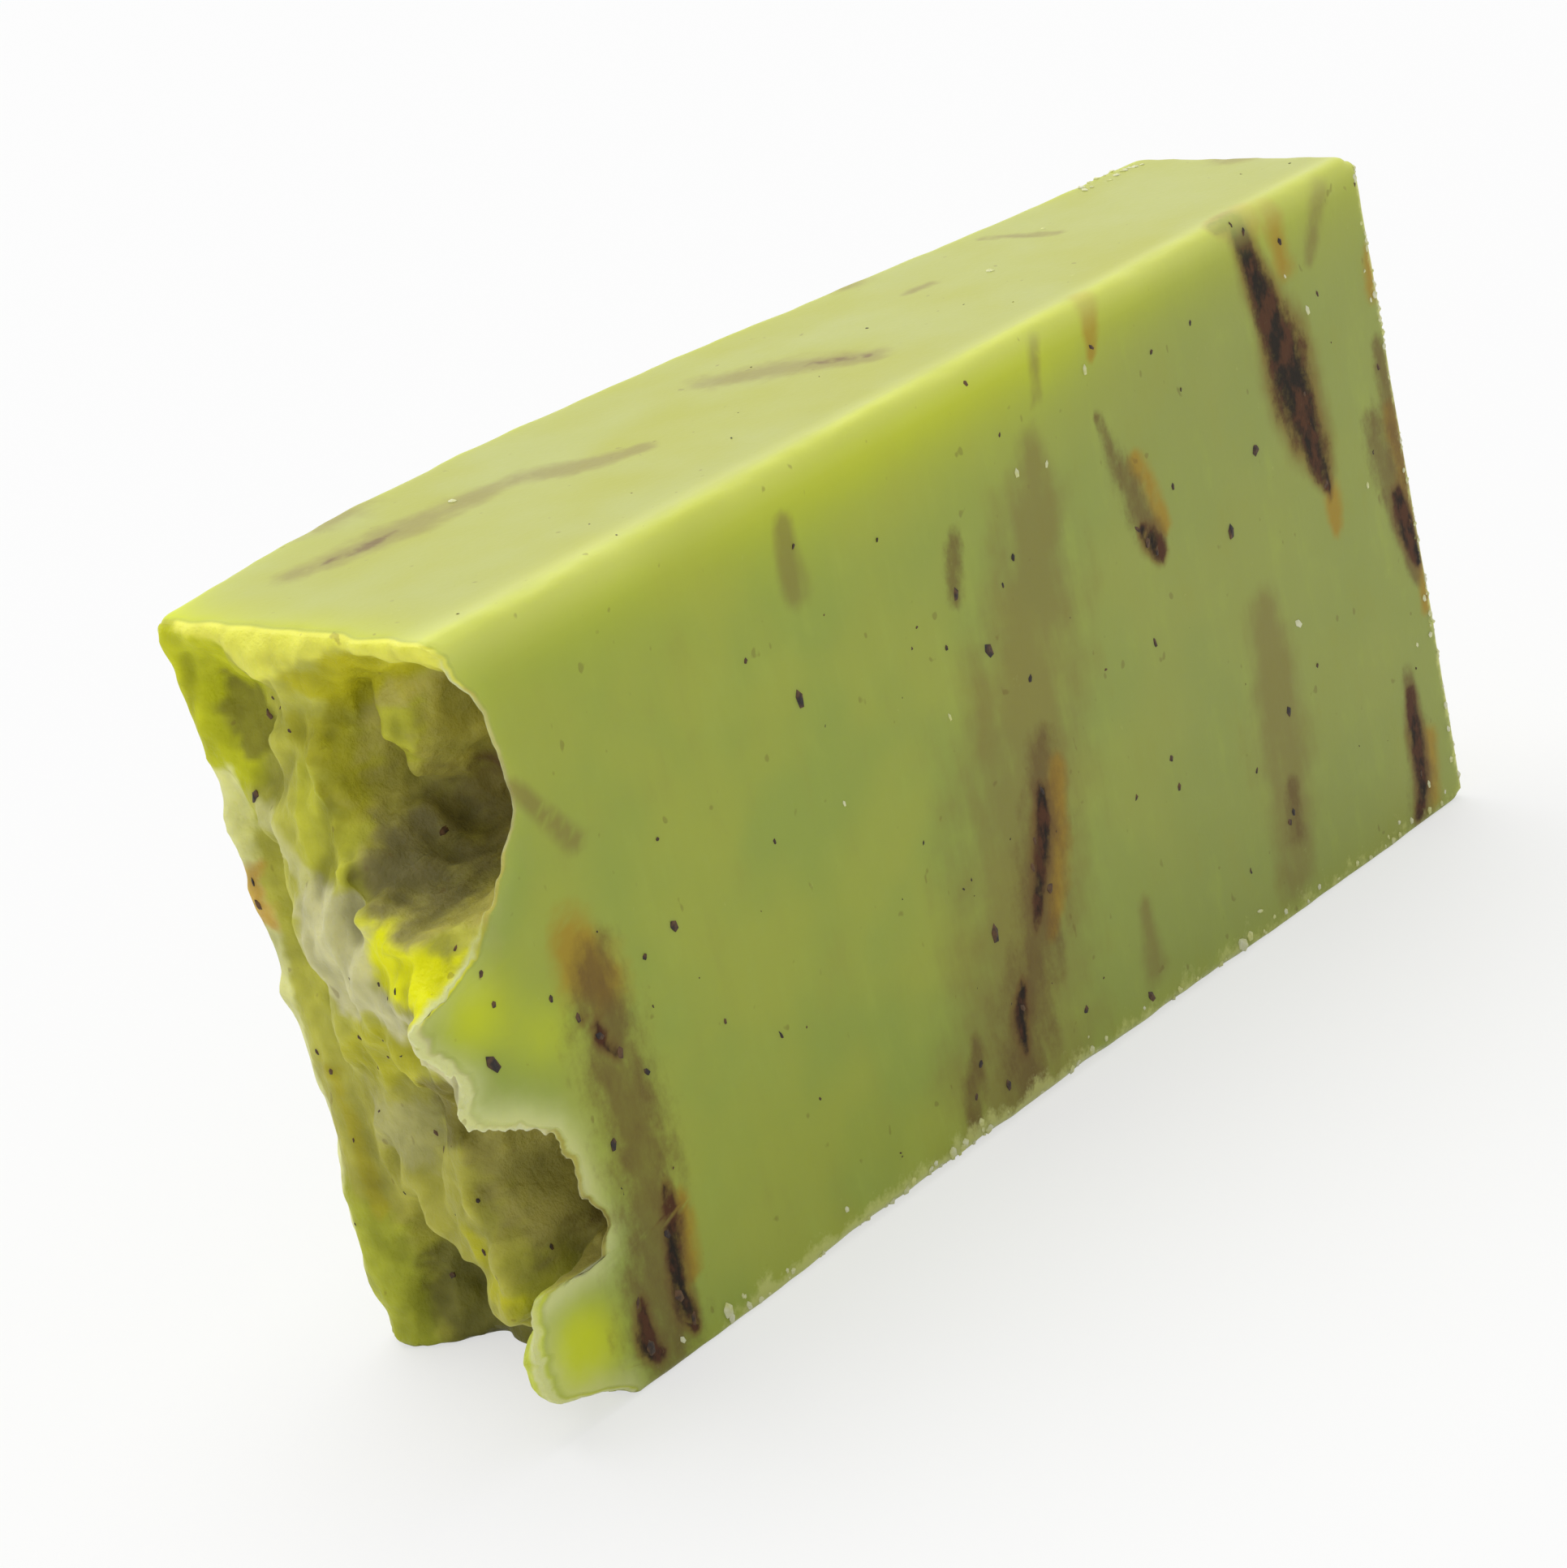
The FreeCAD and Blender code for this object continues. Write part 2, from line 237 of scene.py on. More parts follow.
cut_finer(box, steep_or_torn)
soap_mesh = bpy.data.meshes.new("soap_bar_cast")
box.to_mesh(soap_mesh)
box.free()
plan = np.zeros(len(soap_mesh.vertices) * 3)
soap_mesh.vertices.foreach_get("co", plan)
plan = plan.reshape(-1, 3)
print("faces in the plan:", len(soap_mesh.polygons), "triangles:",
      sum(len(f.vertices) - 2 for f in soap_mesh.polygons))

# %% [markdown]
# ## Rounding the edges
# Handled soap has no sharp edge but the torn one. Each edge has its own radius, and it wanders.

# %% Round the twelve edges
def soften(a, b, radius):
    """Bends the corner between two faces round; a and b are the depths under them."""
    p, q = np.clip(radius - a, 0, None), np.clip(radius - b, 0, None)
    both = (p > 0) & (q > 0)
    scale = np.where(both, np.maximum(p, q) / np.maximum(np.hypot(p, q), 1e-9), 1.0)
    return np.where(both, radius - p * scale, a), np.where(both, radius - q * scale, b)


x, u, z = plan.T.copy()
wander = 1 + 0.35 * wobble(plan, 5.0, 1) + 0.15 * wobble(plan, 1.6, 2)
lifted = np.clip(1 - ((x + 6) / 27) ** 4, 0, 1)
upper, lower = z > HEIGHT / 2, z <= HEIGHT / 2
front, back = u < SLICE / 2, u >= SLICE / 2
long_radius = np.select(
    [upper & front, upper & back, lower & front],
    [1.15 + 0.3 * np.clip(-x / 46, 0, 1), 1.0 + 0 * x, 0.45 + 0.75 * lifted], 0.8,
) * wander
p, q = soften(np.minimum(u, SLICE - u), np.minimum(z, HEIGHT - z), long_radius)
u, z = np.where(front, p, SLICE - p), np.where(upper, HEIGHT - q, q)
near_crust = x < 0
end_radius = np.where(near_crust, np.where(upper, 1.2, 0.9), 1.5) * wander
p, q = soften(np.minimum(x - CRUST_X, BASE_X - x), np.minimum(z, HEIGHT - z), end_radius)
x, z = np.where(near_crust, CRUST_X + p, BASE_X - p), np.where(upper, HEIGHT - q, q)
side_radius = np.select([near_crust & front, near_crust & back, front], [0.12, 0.75, 0.5], 0.9) * wander
p, q = soften(np.minimum(x - CRUST_X, BASE_X - x), np.minimum(u, SLICE - u), side_radius)
x, u = np.where(near_crust, CRUST_X + p, BASE_X - p), np.where(front, q, SLICE - q)
print("edge radii from", round(float(side_radius.min()), 2), "to", round(float(end_radius.max()), 2), "mm")

# %% Press the plan into the slice and raise the crust
CRUST_REACH = 16  # how far along the bar the crust's relief dies out, in mm


def close_to_crust(reach):
    """1 at the crust end of the plan, falling to 0 at that many mm from it."""
    return np.clip(1 - (plan[:, 0] - CRUST_X) / reach, 0, 1)


depth = u * slice_depth(x, z) / SLICE
from_crust = np.clip(1 - (x - CRUST_X) / CRUST_REACH, 0, 1) ** 2
bent = np.stack([depth, z, 0 * z], 1)
swirl_u = 0.45 * wobble(bent, 2.6, 3) * np.clip(depth / 1.5, 0, 1)
swirl_v = 0.45 * wobble(bent, 2.6, 4)
height = crust_height(depth + swirl_u, z + swirl_v)
torn = 0.45 * wobble(bent * [0, 1, 0], 0.9, 5) + 0.25 * wobble(bent * [0, 1, 0], 0.35, 6)
torn *= np.exp(-depth / 0.6) * np.clip(height / 3 + 0.8, 0.25, 1)
x = x - (height + torn) * from_crust
y = FRONT_Y + depth
print("the crust stands out to", height.max().round(1), "mm")

# %% Curl the tooth up and fray the torn edge
curl = np.exp(-((depth / 3.0) ** 2 + ((z - 8.6) / 1.9) ** 2)) * close_to_crust(2)
z = z + curl * np.clip(0.3 * (height - 0.8), 0, 1.1)
along_edge = np.stack([x, 0 * x, z], 1)
ragged_up = 0.5 * wobble(along_edge, 1.1, 7) + 0.3 * wobble(along_edge, 0.5, 8)
z = z + ragged_up * np.exp(-depth / 0.7) * close_to_crust(1.6) * np.interp(
    z, [1, 4, 7, 12, 17, 19, 32, 36], [0, 0.5, 0.6, 0.4, 0.8, 1, 1, 0])
shape = np.stack([x, y, z], 1)
on_crust = close_to_crust(0.8)
print("shape from", shape.min(0).round(1), "to", shape.max(0).round(1))

# %% [markdown]
# ## Folds and grain of the crust
# The soap was stirred thick, so the crust is folded and grainy. Noise pushes the surface along its
# own direction, not along x, and so it hangs over a little where the walls are steep.

# %% Where the crust is lively and where it is smooth
def normals_of(mesh, points):
    mesh.vertices.foreach_set("co", points.ravel())
    mesh.update()
    out = np.zeros(len(mesh.vertices) * 3, np.float32)
    mesh.vertex_normals.foreach_get("vector", out)
    return out.reshape(-1, 3).astype(float)


def blob(at, reach):
    """A soft spot on the crust, 1 in its middle."""
    return np.exp(-(((depth - at[0]) / reach[0]) ** 2 + ((plan[:, 2] - at[1]) / reach[1]) ** 2))


smooth_places = np.clip(
    blob((3.5, 39), (3.2, 6)) + blob((21.5, 30), (2.0, 14)) + blob((20, 8), (2.5, 9))
    + blob((3.8, 13.5), (3, 5)) + blob((12.5, 17), (3.5, 4)), 0, 1)
lively = (on_crust * np.clip(depth / 1.2, 0, 1) * (1 - 0.75 * smooth_places)
          * np.clip((HEIGHT - plan[:, 2]) / 3, 0.25, 1))
print("lively share of the crust:", f"{lively[on_crust > 0.5].mean():.0%}")

# %% Push folds out of the crust
FOLDS = ((3.4, 0.9, 11), (1.7, 0.30, 12), (0.8, 0.07, 13))  # size and push in mm, then a seed
fold = np.zeros(len(plan))
for size, push, seed in FOLDS:
    soft = normals_of(soap_mesh, shape)
    along_fold = shape * [1, 1, 0.55] + shape[:, 2:] * [0, 0.25, 0]
    ridged = 1 - 2 * np.abs(wobble(along_fold, size, seed))
    plain = wobble(along_fold, size * 0.8, seed + 20)
    step = push * (0.7 * (ridged - 0.5) + 0.6 * plain)
    shape = shape + soft * (lively * step)[:, None]
    fold += step
skin_wave = 0.05 * wobble(shape, 9.0, 31) + 0.03 * wobble(shape, 3.0, 32)
shape = shape + normals_of(soap_mesh, shape) * (skin_wave * (1 - on_crust))[:, None]
shape[:, 2] = np.maximum(shape[:, 2], 0.0)
print("after the folds, from", shape.min(0).round(1), "to", shape.max(0).round(1))

# %% [markdown]
# ## One mesh for the one cast piece
# The bar was cast in one piece, so it stays one mesh, and it stands for the solid bar from the CAD.

# %% Finish the mesh
soap_mesh.vertices.foreach_set("co", (shape * MM).ravel())
soap_mesh.update()
soap_mesh.polygons.foreach_set("use_smooth", np.ones(len(soap_mesh.polygons), bool))
soap_bar = bpy.data.objects.new("soap_bar_cast", soap_mesh)
bpy.context.scene.collection.objects.link(soap_bar)
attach(soap_bar, "root")
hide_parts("soap_bar")
print("triangles in the bar:", sum(len(f.vertices) - 2 for f in soap_mesh.polygons))

# %% [markdown]
# ## Where the colours lie
# Brown streaks of ground herb run down through the soap, with an orange stain beside some. Each is
# a line with a half width at every point, and what is kept on the mesh is how deep a place lies in
# it: 1 on the line, 0 at its border. That is smooth, so the shader can fray it with fine noise.

# %% How deep a place lies in a streak
deep = np.stack([shape[:, 0], shape[:, 1] - FRONT_Y, shape[:, 2]], 1)
thick = slice_depth(shape[:, 0], shape[:, 2])


def depth_in(tracks):
    """Each track is a list of (x, u, z, half width)."""
    best = np.full(len(deep), -2.0)
    for track in tracks:
        for a, b in zip(np.array(track[:-1], float), np.array(track[1:], float)):
            line = b[:3] - a[:3]
            share = np.clip((deep - a[:3]) @ line / (line @ line), 0, 1)
            away = np.linalg.norm(deep - a[:3] - share[:, None] * line, axis=1)
            best = np.maximum(best, 1 - away / (a[3] + (b[3] - a[3]) * share))
    return best


def on_front(*spots):
    return [(x, 0.0, z, w) for x, z, w in spots]


def on_top(*spots):
    return [(x, u, HEIGHT, w) for x, u, w in spots]


def on_back(*spots):
    return [(x, float(slice_depth(np.array([x]), np.array([z]))[0]), z, w) for x, z, w in spots]


def on_base(*spots):
    return [(BASE_X, u, z, w) for u, z, w in spots]


def keep(name, values):
    layer = soap_mesh.attributes.new(name, "FLOAT", "POINT")
    layer.data.foreach_set("value", np.asarray(values, np.float32))


print("the slice is", thick.min().round(1), "to", thick.max().round(1), "mm thick")

# %% Dark streaks
DARK = [
    on_front((31.4, 49.8, 0.7), (31.9, 47.8, 0.8), (33.0, 44.1, 1.2), (34.0, 40, 1.7), (34.6, 36, 1.8),
             (35.3, 32.8, 1.5), (36.05, 29.8, 0.9), (36.4, 27.8, 0.3)),
    on_top((29.6, 0.3, 0.5), (31.8, 0.2, 0.9)),
    on_front((44.1, 24.8, 0.5), (44.6, 22, 0.9), (45.3, 19.1, 0.4)),
    on_front((41.6, 10.5, 0.35), (41.4, 7, 0.8), (41.1, 2.5, 0.6), (40.1, 0.8, 0.5)),
    on_front((1.1, 20.4, 0.5), (0.1, 17, 0.8), (-1.2, 14, 0.6), (-2.2, 11.6, 0.3)),
    on_front((-4.6, 8.6, 0.35), (-5.5, 6.7, 0.7), (-5.8, 3.8, 0.35)),
    on_front((-41.6, 24.6, 0.3), (-40.7, 22.5, 0.45), (-39.7, 20.8, 0.3)),
    on_front((-38.7, 11.6, 0.3), (-39.0, 8.4, 0.6), (-39.7, 5.4, 0.6), (-39.6, 3.4, 0.8),
             (-39.3, 1.7, 0.4)),
    on_front((-43.2, 5.3, 0.4), (-43.3, 2.4, 0.7), (-42.5, 1.6, 0.5)),
    on_front((15.9, 33.1, 0.4), (16.6, 31.9, 0.8), (17.2, 30.8, 0.6)),
    on_back((-20.5, 46, 0.4), (-21.2, 40, 1.3), (-21.0, 33, 1.9), (-22.3, 26, 1.2), (-23.4, 21, 0.4)),
    on_back((18.4, 16, 0.4), (17.6, 10, 1.0), (17.9, 4, 0.8)),
    on_base((5.2, 30, 0.4), (5.8, 25, 0.9), (5.1, 19, 0.5)),
]
print("dark streaks:", len(DARK))

# %% Brown streaks
BROWN = [
    on_front((13.6, 42, 0.4), (14.4, 39, 0.8), (15.5, 36, 1.1), (16.5, 33, 1.2), (17.1, 31, 0.8)),
    on_front((-40, 27.2, 1.6), (-40.2, 24, 2.3), (-40, 18, 2.4), (-40.3, 12, 2.4), (-41.3, 6, 2.6),
             (-41.6, 1.5, 2.4)),
    on_front((42.5, 31, 1.0), (43, 27, 1.3), (44.2, 23, 1.3), (44.8, 18.5, 0.8)),
    on_front((44.9, 36, 0.7), (45.4, 30, 1.1), (45.6, 24, 0.9)),
    on_front((41.7, 11.5, 0.6), (41.4, 6, 1.3), (40.8, 1.5, 1.3)),
    on_front((-10.2, 6.6, 0.7), (-11.4, 3.5, 0.9), (-11.8, 1.8, 0.7)),
    on_front((-2, 39.8, 0.5), (-2.7, 37.5, 0.9), (-3.1, 35.8, 0.7)),
    on_front((26.4, 9.6, 0.6), (26, 6, 1.0)),
    on_front((1.8, 23, 1.2), (0.2, 17, 2.1), (-2.4, 10.5, 2.0), (-5.0, 6.5, 2.4), (-6.0, 2, 2.2)),
    on_top((-37.7, 20, 0.3), (-34.5, 19, 0.5), (-31, 18.8, 0.4)),
    on_top((0.2, 12.4, 0.3), (1.6, 10, 0.5), (2.4, 8.4, 0.3)),
    on_back((-20.3, 48, 0.8), (-21.0, 40, 2.2), (-21.2, 32, 2.8), (-22.6, 24, 2.0), (-24, 18, 0.8)),
    on_back((19.4, 24, 1.2), (18.2, 14, 2.2), (17.7, 2, 2.4)),
    on_back((36.5, 44, 0.5), (37.4, 37, 1.4), (38.9, 30, 0.6)),
    on_base((4.8, 36, 0.7), (5.6, 26, 1.8), (5.0, 16, 0.9)),
    on_base((13.2, 47, 0.5), (12.4, 40, 1.1), (13.1, 31, 0.5)),
]
print("brown streaks:", len(BROWN))

# %% Broad bands under them
BAND = [
    on_front((6.6, 42, 1.6), (5.6, 38, 3.4), (4.2, 33, 5.2), (1, 26, 6.6), (-1.5, 19, 7.2),
             (-4, 12, 7.2), (-6, 6, 7.2), (-7, 1, 7.4)),
    on_front((27, 22, 2.2), (26.3, 14, 3.4), (26, 8, 3.0), (25.2, 3, 2.2)),
    on_front((4.9, 36, 0.9), (3.6, 31, 1.6), (2, 27.4, 0.6)),
    on_front((9.0, 48.8, 0.7), (8.3, 45.2, 0.7)),
    on_front((8.6, 8, 0.8), (8.4, 3.5, 1.4)),
    on_front((-16.6, 46, 0.9), (-17, 41.5, 1.3)),
    on_front((38.8, 44.5, 0.8), (41.1, 48.5, 1.2)),
    on_front((-42.4, 39.6, 0.7), (-40.6, 37.0, 0.8), (-38.8, 34.6, 0.9)),
    on_top((-38.2, 20, 1.6), (-30, 18.8, 2.0), (-21.6, 17.8, 1.5), (-19.1, 14.4, 1.8), (-15.4, 12.3, 1.1)),
    on_top((-3.7, 17.9, 1.8), (-2, 15.2, 2.0), (0.5, 11.9, 2.1), (2.4, 8.2, 1.5)),
    on_top((26.4, 18.6, 0.6), (27.6, 12.7, 0.7)),
    on_top((14.6, 15.6, 0.7), (16.6, 15.2, 0.7)),
    on_back((-30, 50, 3.5), (-27, 34, 6.0), (-29, 16, 5.0), (-33, 0, 5.5)),
    on_back((16, 50, 2.0), (18, 30, 4.6), (19, 12, 5.4), (22, 0, 5.0)),
    on_base((9.5, 50, 2.4), (8.4, 30, 3.6), (9.4, 8, 3.0), (10, 0, 3.2)),
    [(-12, 4, 0, 2.2), (-9, 12, 0, 3.4), (-13, 22, 0, 2.4)],
    [(22, 2, 0, 1.2), (25, 12, 0, 2.0), (24, 20, 0, 1.4)],
]
print("bands:", len(BAND))

# %% Orange stains
ORANGE = [
    on_front((15.1, 50.0, 0.8), (14.7, 47.5, 0.7), (14.3, 46, 0.5)),
    on_front((36.6, 27.6, 0.8), (36.6, 25.0, 0.6)),
    on_front((-41, 29.4, 1.6), (-40.4, 27.2, 2.1), (-39.3, 25.4, 1.7)),
    on_front((2.7, 21, 0.9), (1.7, 17, 1.1), (0.3, 13.5, 1.0), (-1, 10.5, 0.6)),
    on_front((35.4, 49.2, 0.9), (35.8, 45.1, 1.1)),
    on_front((30.4, 50, 1.2), (33.2, 49.6, 1.4)),
    on_front((45.9, 42.8, 0.7), (45.5, 40, 0.9)),
    on_front((44.8, 31, 0.7), (45.2, 26, 0.9), (45.6, 20, 0.8), (45.2, 15.6, 0.6)),
    on_front((42.9, 6, 0.8), (42.3, 1.4, 1.0)),
    on_front((16.6, 37.6, 0.7), (17.7, 35, 0.8), (18.3, 32.2, 0.6)),
    on_front((-37.8, 10, 0.7), (-38.4, 5, 0.7)),
    on_back((-18.6, 44, 0.8), (-18.4, 32, 1.2), (-20.4, 22, 0.7)),
    on_back((36.2, 46, 0.9), (35.9, 39, 1.2)),
    on_base((7.2, 33, 0.8), (7.6, 24, 1.0)),
]
print("stains:", len(ORANGE))

# %% Keep the streaks on the mesh
for name, tracks in (("dark", DARK), ("brown", BROWN), ("band", BAND), ("orange", ORANGE)):
    values = depth_in(tracks)
    keep(name, values)
    print(name, "streaks cover", f"{(values > 0).mean():.1%}", "of the points")

# %% [markdown]
# ## Places on the crust and along the edges
# The crust isn't one colour either: bright yellow on the crest, whitish where it tore, and dark in the
# craters and hollows, partly from its own olive and partly from painted shade. Each colour has an
# outline on the crust, and is painted as far as a place lies inside it.

# %% How far inside an outline a place lies
def inside(*corners):
    """Millimetres inside an outline of (u, z) on the crust, less than 0 outside it."""
    at = np.stack([depth, plan[:, 2]], 1)
    within, nearest = np.zeros(len(at), bool), np.full(len(at), 99.0)
    for a, b in zip(np.array(corners, float), np.roll(np.array(corners, float), -1, axis=0)):
        line = b - a
        share = np.clip((at - a) @ line / (line @ line), 0, 1)
        nearest = np.minimum(nearest, np.linalg.norm(at - a - share[:, None] * line, axis=1))
        rises = (a[1] > at[:, 1]) != (b[1] > at[:, 1])
        across = a[0] + (at[:, 1] - a[1]) * line[0] / (line[1] if line[1] else 1e-9)
        within ^= rises & (at[:, 0] < across)
    return np.where(within, nearest, -nearest)


def colour(red, green, blue):
    """A display colour from 0 to 255 as the linear colour that sockets take."""
    return (*[c / 255 / 12.92 if c < 10.3 else ((c / 255 + 0.055) / 1.055) ** 2.4
              for c in (red, green, blue)], 1.0)


print("a middle grey is", [round(c, 3) for c in colour(128, 128, 128)[:3]])

# %% Colours on the crust, with painted shade in its craters and hollows
# Each layer: its colour, its strength, half the width of its soft border in mm, and its outline.
LAYERS = {
    "lower half": ((188, 184, 80), 1, 2.5, [
        (-2, 24), (8, 23), (24, 20), (26, -2), (-2, -2)]),
    "smooth column": ((186, 192, 60), 0.9, 0.8, [
        (17.6, 9.8), (21, 12), (24, 12), (24, -1), (17.2, -1), (17.2, 6)]),
    "back strip": ((210, 214, 30), 0.9, 0.9, [
        (17.4, 50), (18.2, 46), (19.4, 40), (21, 38), (23, 34), (26, 40), (26, 50)]),
    "pale back edge": ((240, 240, 160), 1, 0.4, [
        (21.9, 40), (21.6, 20), (21.2, 6), (25, 0), (25, 40)]),
    "yellow shoulder": ((204, 204, 66), 0.9, 0.6, [
        (11.4, 42.6), (10.6, 39.6), (9.6, 36.6), (8.7, 34.8), (13.6, 34.4), (14.6, 36.8), (14.2, 42)]),
    "bright crest": ((252, 252, 16), 1, 0.5, [
        (7.4, 33.8), (4.2, 33), (1.5, 31.8), (-1, 31), (-1, 29.4), (2.1, 29.2), (4.6, 29.2), (7.9, 28.8),
        (8.4, 31.6)]),
    "ochre step": ((196, 192, 52), 0.9, 0.5, [
        (5.6, 25.4), (8.4, 26), (12.2, 25.6), (15.8, 22.8), (14.8, 20.4), (9.6, 21.2), (6, 22)]),
    "pale lobe": ((220, 216, 160), 0.95, 0.5, [
        (13.6, 34.8), (8.9, 34.2), (6.9, 33.2), (8.2, 31.2), (7.9, 29.2), (4.2, 28.2), (7.1, 25.6),
        (9.7, 26.8), (14, 25.3), (15.4, 28.4), (15.6, 32.4)]),
    "pale fold": ((216, 214, 140), 0.9, 0.3, [
        (20.2, 38.4), (16.6, 37.6), (15, 36.2), (13.6, 34.8), (14.8, 34), (17, 35.6), (20.2, 37)]),
    "pale patch of the tongue": ((192, 188, 120), 0.8, 0.7, [
        (9.2, 19.6), (15.8, 19.2), (16.4, 15), (11.4, 14.8), (9.4, 17)]),
    "rim of the column": ((190, 180, 48), 0.8, 0.4, [
        (20.2, 20.6), (19.9, 18.2), (19.6, 12.8), (18.6, 9.8), (17.8, 10.4), (18.9, 15.4), (19, 20)]),
    "yellow edge of the lower crater": ((204, 200, 44), 0.9, 0.5, [
        (8.4, 12.4), (7.2, 8.6), (5.6, 6.9), (4, 8), (5.6, 9.6), (7, 12.4)]),
    "tooth": ((208, 218, 78), 1, 0.4, [
        (-1, 9.3), (1.6, 9.3), (3.2, 7.4), (3, 0), (-1, 0)]),
    # Painted shade under the ridge.
    "painted shade under the ridge": ((134, 126, 50), 0.95, 0.5, [
        (10.1, 18.6), (7.4, 22.6), (5, 23.6), (1, 24), (-1, 23.6), (-1, 19.6), (6, 17.8), (8.2, 17.4)]),
    "lower crater": ((172, 164, 86), 1, 0.45, [
        (-1, 21.4), (2, 21.4), (4.6, 20.8), (6.2, 19), (6.2, 16.4), (6, 14.8), (5.4, 13.4), (4.9, 12.2),
        (3.9, 11.2), (3.5, 9.4), (2.2, 9), (-1, 9.3)]),
    "lower crater, lit wall": ((190, 180, 90), 0.9, 0.9, [
        (-1, 20.6), (2.6, 20.4), (3.4, 15), (1.8, 10.2), (-1, 9.6)]),
    # Painted shade at the foot of the lower crater, its deepest part.
    "painted shade at the lower crater's foot": ((120, 108, 50), 0.8, 0.7, [
        (-1, 13.4), (2.6, 13.6), (3, 10.4), (-1, 9.9)]),
    # Painted shade in a hollow of the crust.
    "painted shade in the hollow at the foot": ((132, 128, 62), 0.95, 0.5, [
        (10.5, -1), (9.6, 4), (11.6, 7.2), (14.6, 7.8), (17.1, 6.8), (17.3, 3.4), (17.2, -1)]),
    # Painted shade in a pocket of the crust.
    "painted shade in the pocket near the top": ((150, 146, 52), 0.9, 0.5, [
        (21.5, 46.1), (20.6, 44.9), (19, 44.9), (18.3, 42.8), (18.8, 41), (20.6, 40.8), (21.9, 42),
        (22.3, 44.2)]),
    "yellow under the lip": ((196, 190, 30), 0.9, 0.4, [
        (13.3, 47.4), (10.9, 47.8), (9.6, 48.8), (5.6, 49), (4, 47), (7, 45.6), (10.1, 44), (11.2, 44),
        (11.8, 45.6), (13.6, 46.2)]),
    "upper crater, far wall": ((184, 180, 50), 0.95, 0.5, [
        (14.8, 44.4), (10.6, 44.6), (10.2, 42), (9.8, 38), (10.7, 38), (11.3, 40.8), (11.8, 42.2),
        (14.8, 42.4)]),
    "upper crater": ((200, 192, 98), 1, 0.4, [
        (-1, 46.4), (3, 46.8), (7.2, 46.2), (10.4, 44), (10.5, 41.2), (10.1, 38.2), (9.5, 36.4),
        (8.6, 35.2), (7.1, 34.4), (5.9, 33.1), (4.5, 32.7), (3.2, 32.5), (2.2, 32.7), (-1, 33)]),
    "upper crater, shade": ((160, 148, 86), 0.9, 0.8, [
        (3.6, 40), (5.4, 41), (6.8, 39.6), (8.6, 37.2), (7.4, 35.4), (4.4, 34), (2.2, 34.4)]),
    "upper crater, front wall": ((206, 194, 96), 0.9, 1.2, [
        (-1, 47), (4.6, 46), (5.2, 42), (3.2, 38), (1.6, 34.4), (-1, 33)]),
    "brown spot at the front": ((96, 78, 56), 0.85, 0.9, [
        (-1, 41.6), (1, 41.8), (1.6, 38.6), (-1, 37.8)]),
    # Painted shade: the dark heart of the upper crater, along its lower edge.
    "painted shade at the upper crater's lower edge": ((138, 130, 84), 0.95, 0.9, [
        (9.4, 38), (9.2, 36), (8.4, 34.8), (6, 33.6), (3.6, 32.8), (3, 33.8), (5.4, 35.2), (7.2, 36.6),
        (8.2, 38)]),
    "brown patch": ((124, 96, 66), 0.8, 0.7, [
        (5.4, 36.4), (6.4, 37.6), (7, 39.6), (5.8, 39.8), (4.6, 37.4)]),
    "upper crater, roof": ((186, 180, 84), 0.8, 0.9, [
        (4.6, 45.6), (6.6, 44.6), (7.4, 41.6), (6.8, 39.8), (5, 40), (4.2, 43)]),
    "pale line on the front edge": ((206, 204, 134), 0.8, 0.25, [
        (-1, 36.6), (0.5, 36.4), (0.6, 45.6), (-1, 45.8)]),
    "orange stain": ((206, 156, 40), 0.8, 0.5, [
        (21.6, 33.6), (24, 33.6), (24, 29.2), (21.8, 29.4)]),
    "cream beside the tear": ((232, 228, 168), 0.95, 0.5, [
        (-1, 29.6), (2, 29), (4.4, 28.2), (5, 26.4), (3.6, 24.4), (2.2, 22.6), (1.2, 20.4), (0.8, 18.8),
        (-1, 18.6)]),
    "yellow lump": ((204, 204, 66), 0.95, 0.35, [
        (6, 44.8), (8.6, 44.6), (10, 42.8), (9.4, 39), (7.6, 40.6), (6.2, 42.4)]),
    "bright lip": ((246, 244, 100), 1, 0.3, [
        (-1, 46.9), (4, 46.6), (7, 47.4), (5.8, 49), (9.1, 49.2), (10.1, 48.6), (11.1, 48.1),
        (13.6, 47.5), (17, 46.2), (17.8, 48.4), (19.9, 49.2), (22.8, 49.4), (22.8, 51), (-1, 51)]),
}
print("outlines on the crust:", len(LAYERS))

# %% Paint the crust, one outline over another, and paint shade into its creases
ragged = 0.75 * wobble(shape, 1.5, 41) + 0.45 * wobble(shape, 0.6, 42)
paint = np.tile(colour(202, 200, 84)[:3], (len(shape), 1))
for shade, strength, border, outline in LAYERS.values():
    share = np.clip((inside(*outline) + ragged * min(1, border * 1.6)) / (2 * border) + 0.5, 0, 1)
    share = (share * share * (3 - 2 * share) * strength)[:, None]
    paint = paint * (1 - share) + np.array(colour(*shade)[:3]) * share
# Painted shade: the creases between the folds are darkened and tinted olive.
crease_shade = (np.clip(-fold / 0.45, 0, 1) * np.clip(lively, 0, 1))[:, None]
paint = paint * (1 - 0.45 * crease_shade) + np.array(colour(150, 140, 40)[:3]) * 0.18 * crease_shade
paint *= (1 + 0.20 * wobble(shape, 2.4, 43) + 0.16 * wobble(shape, 0.9, 44))[:, None]
layer = soap_mesh.attributes.new("crust_colour_and_shade", "FLOAT_COLOR", "POINT")
layer.data.foreach_set("color", np.hstack([paint, np.ones((len(paint), 1))]).astype(np.float32).ravel())
print("mean colour of the crust:", paint[on_crust > 0.5].mean(0).round(2))
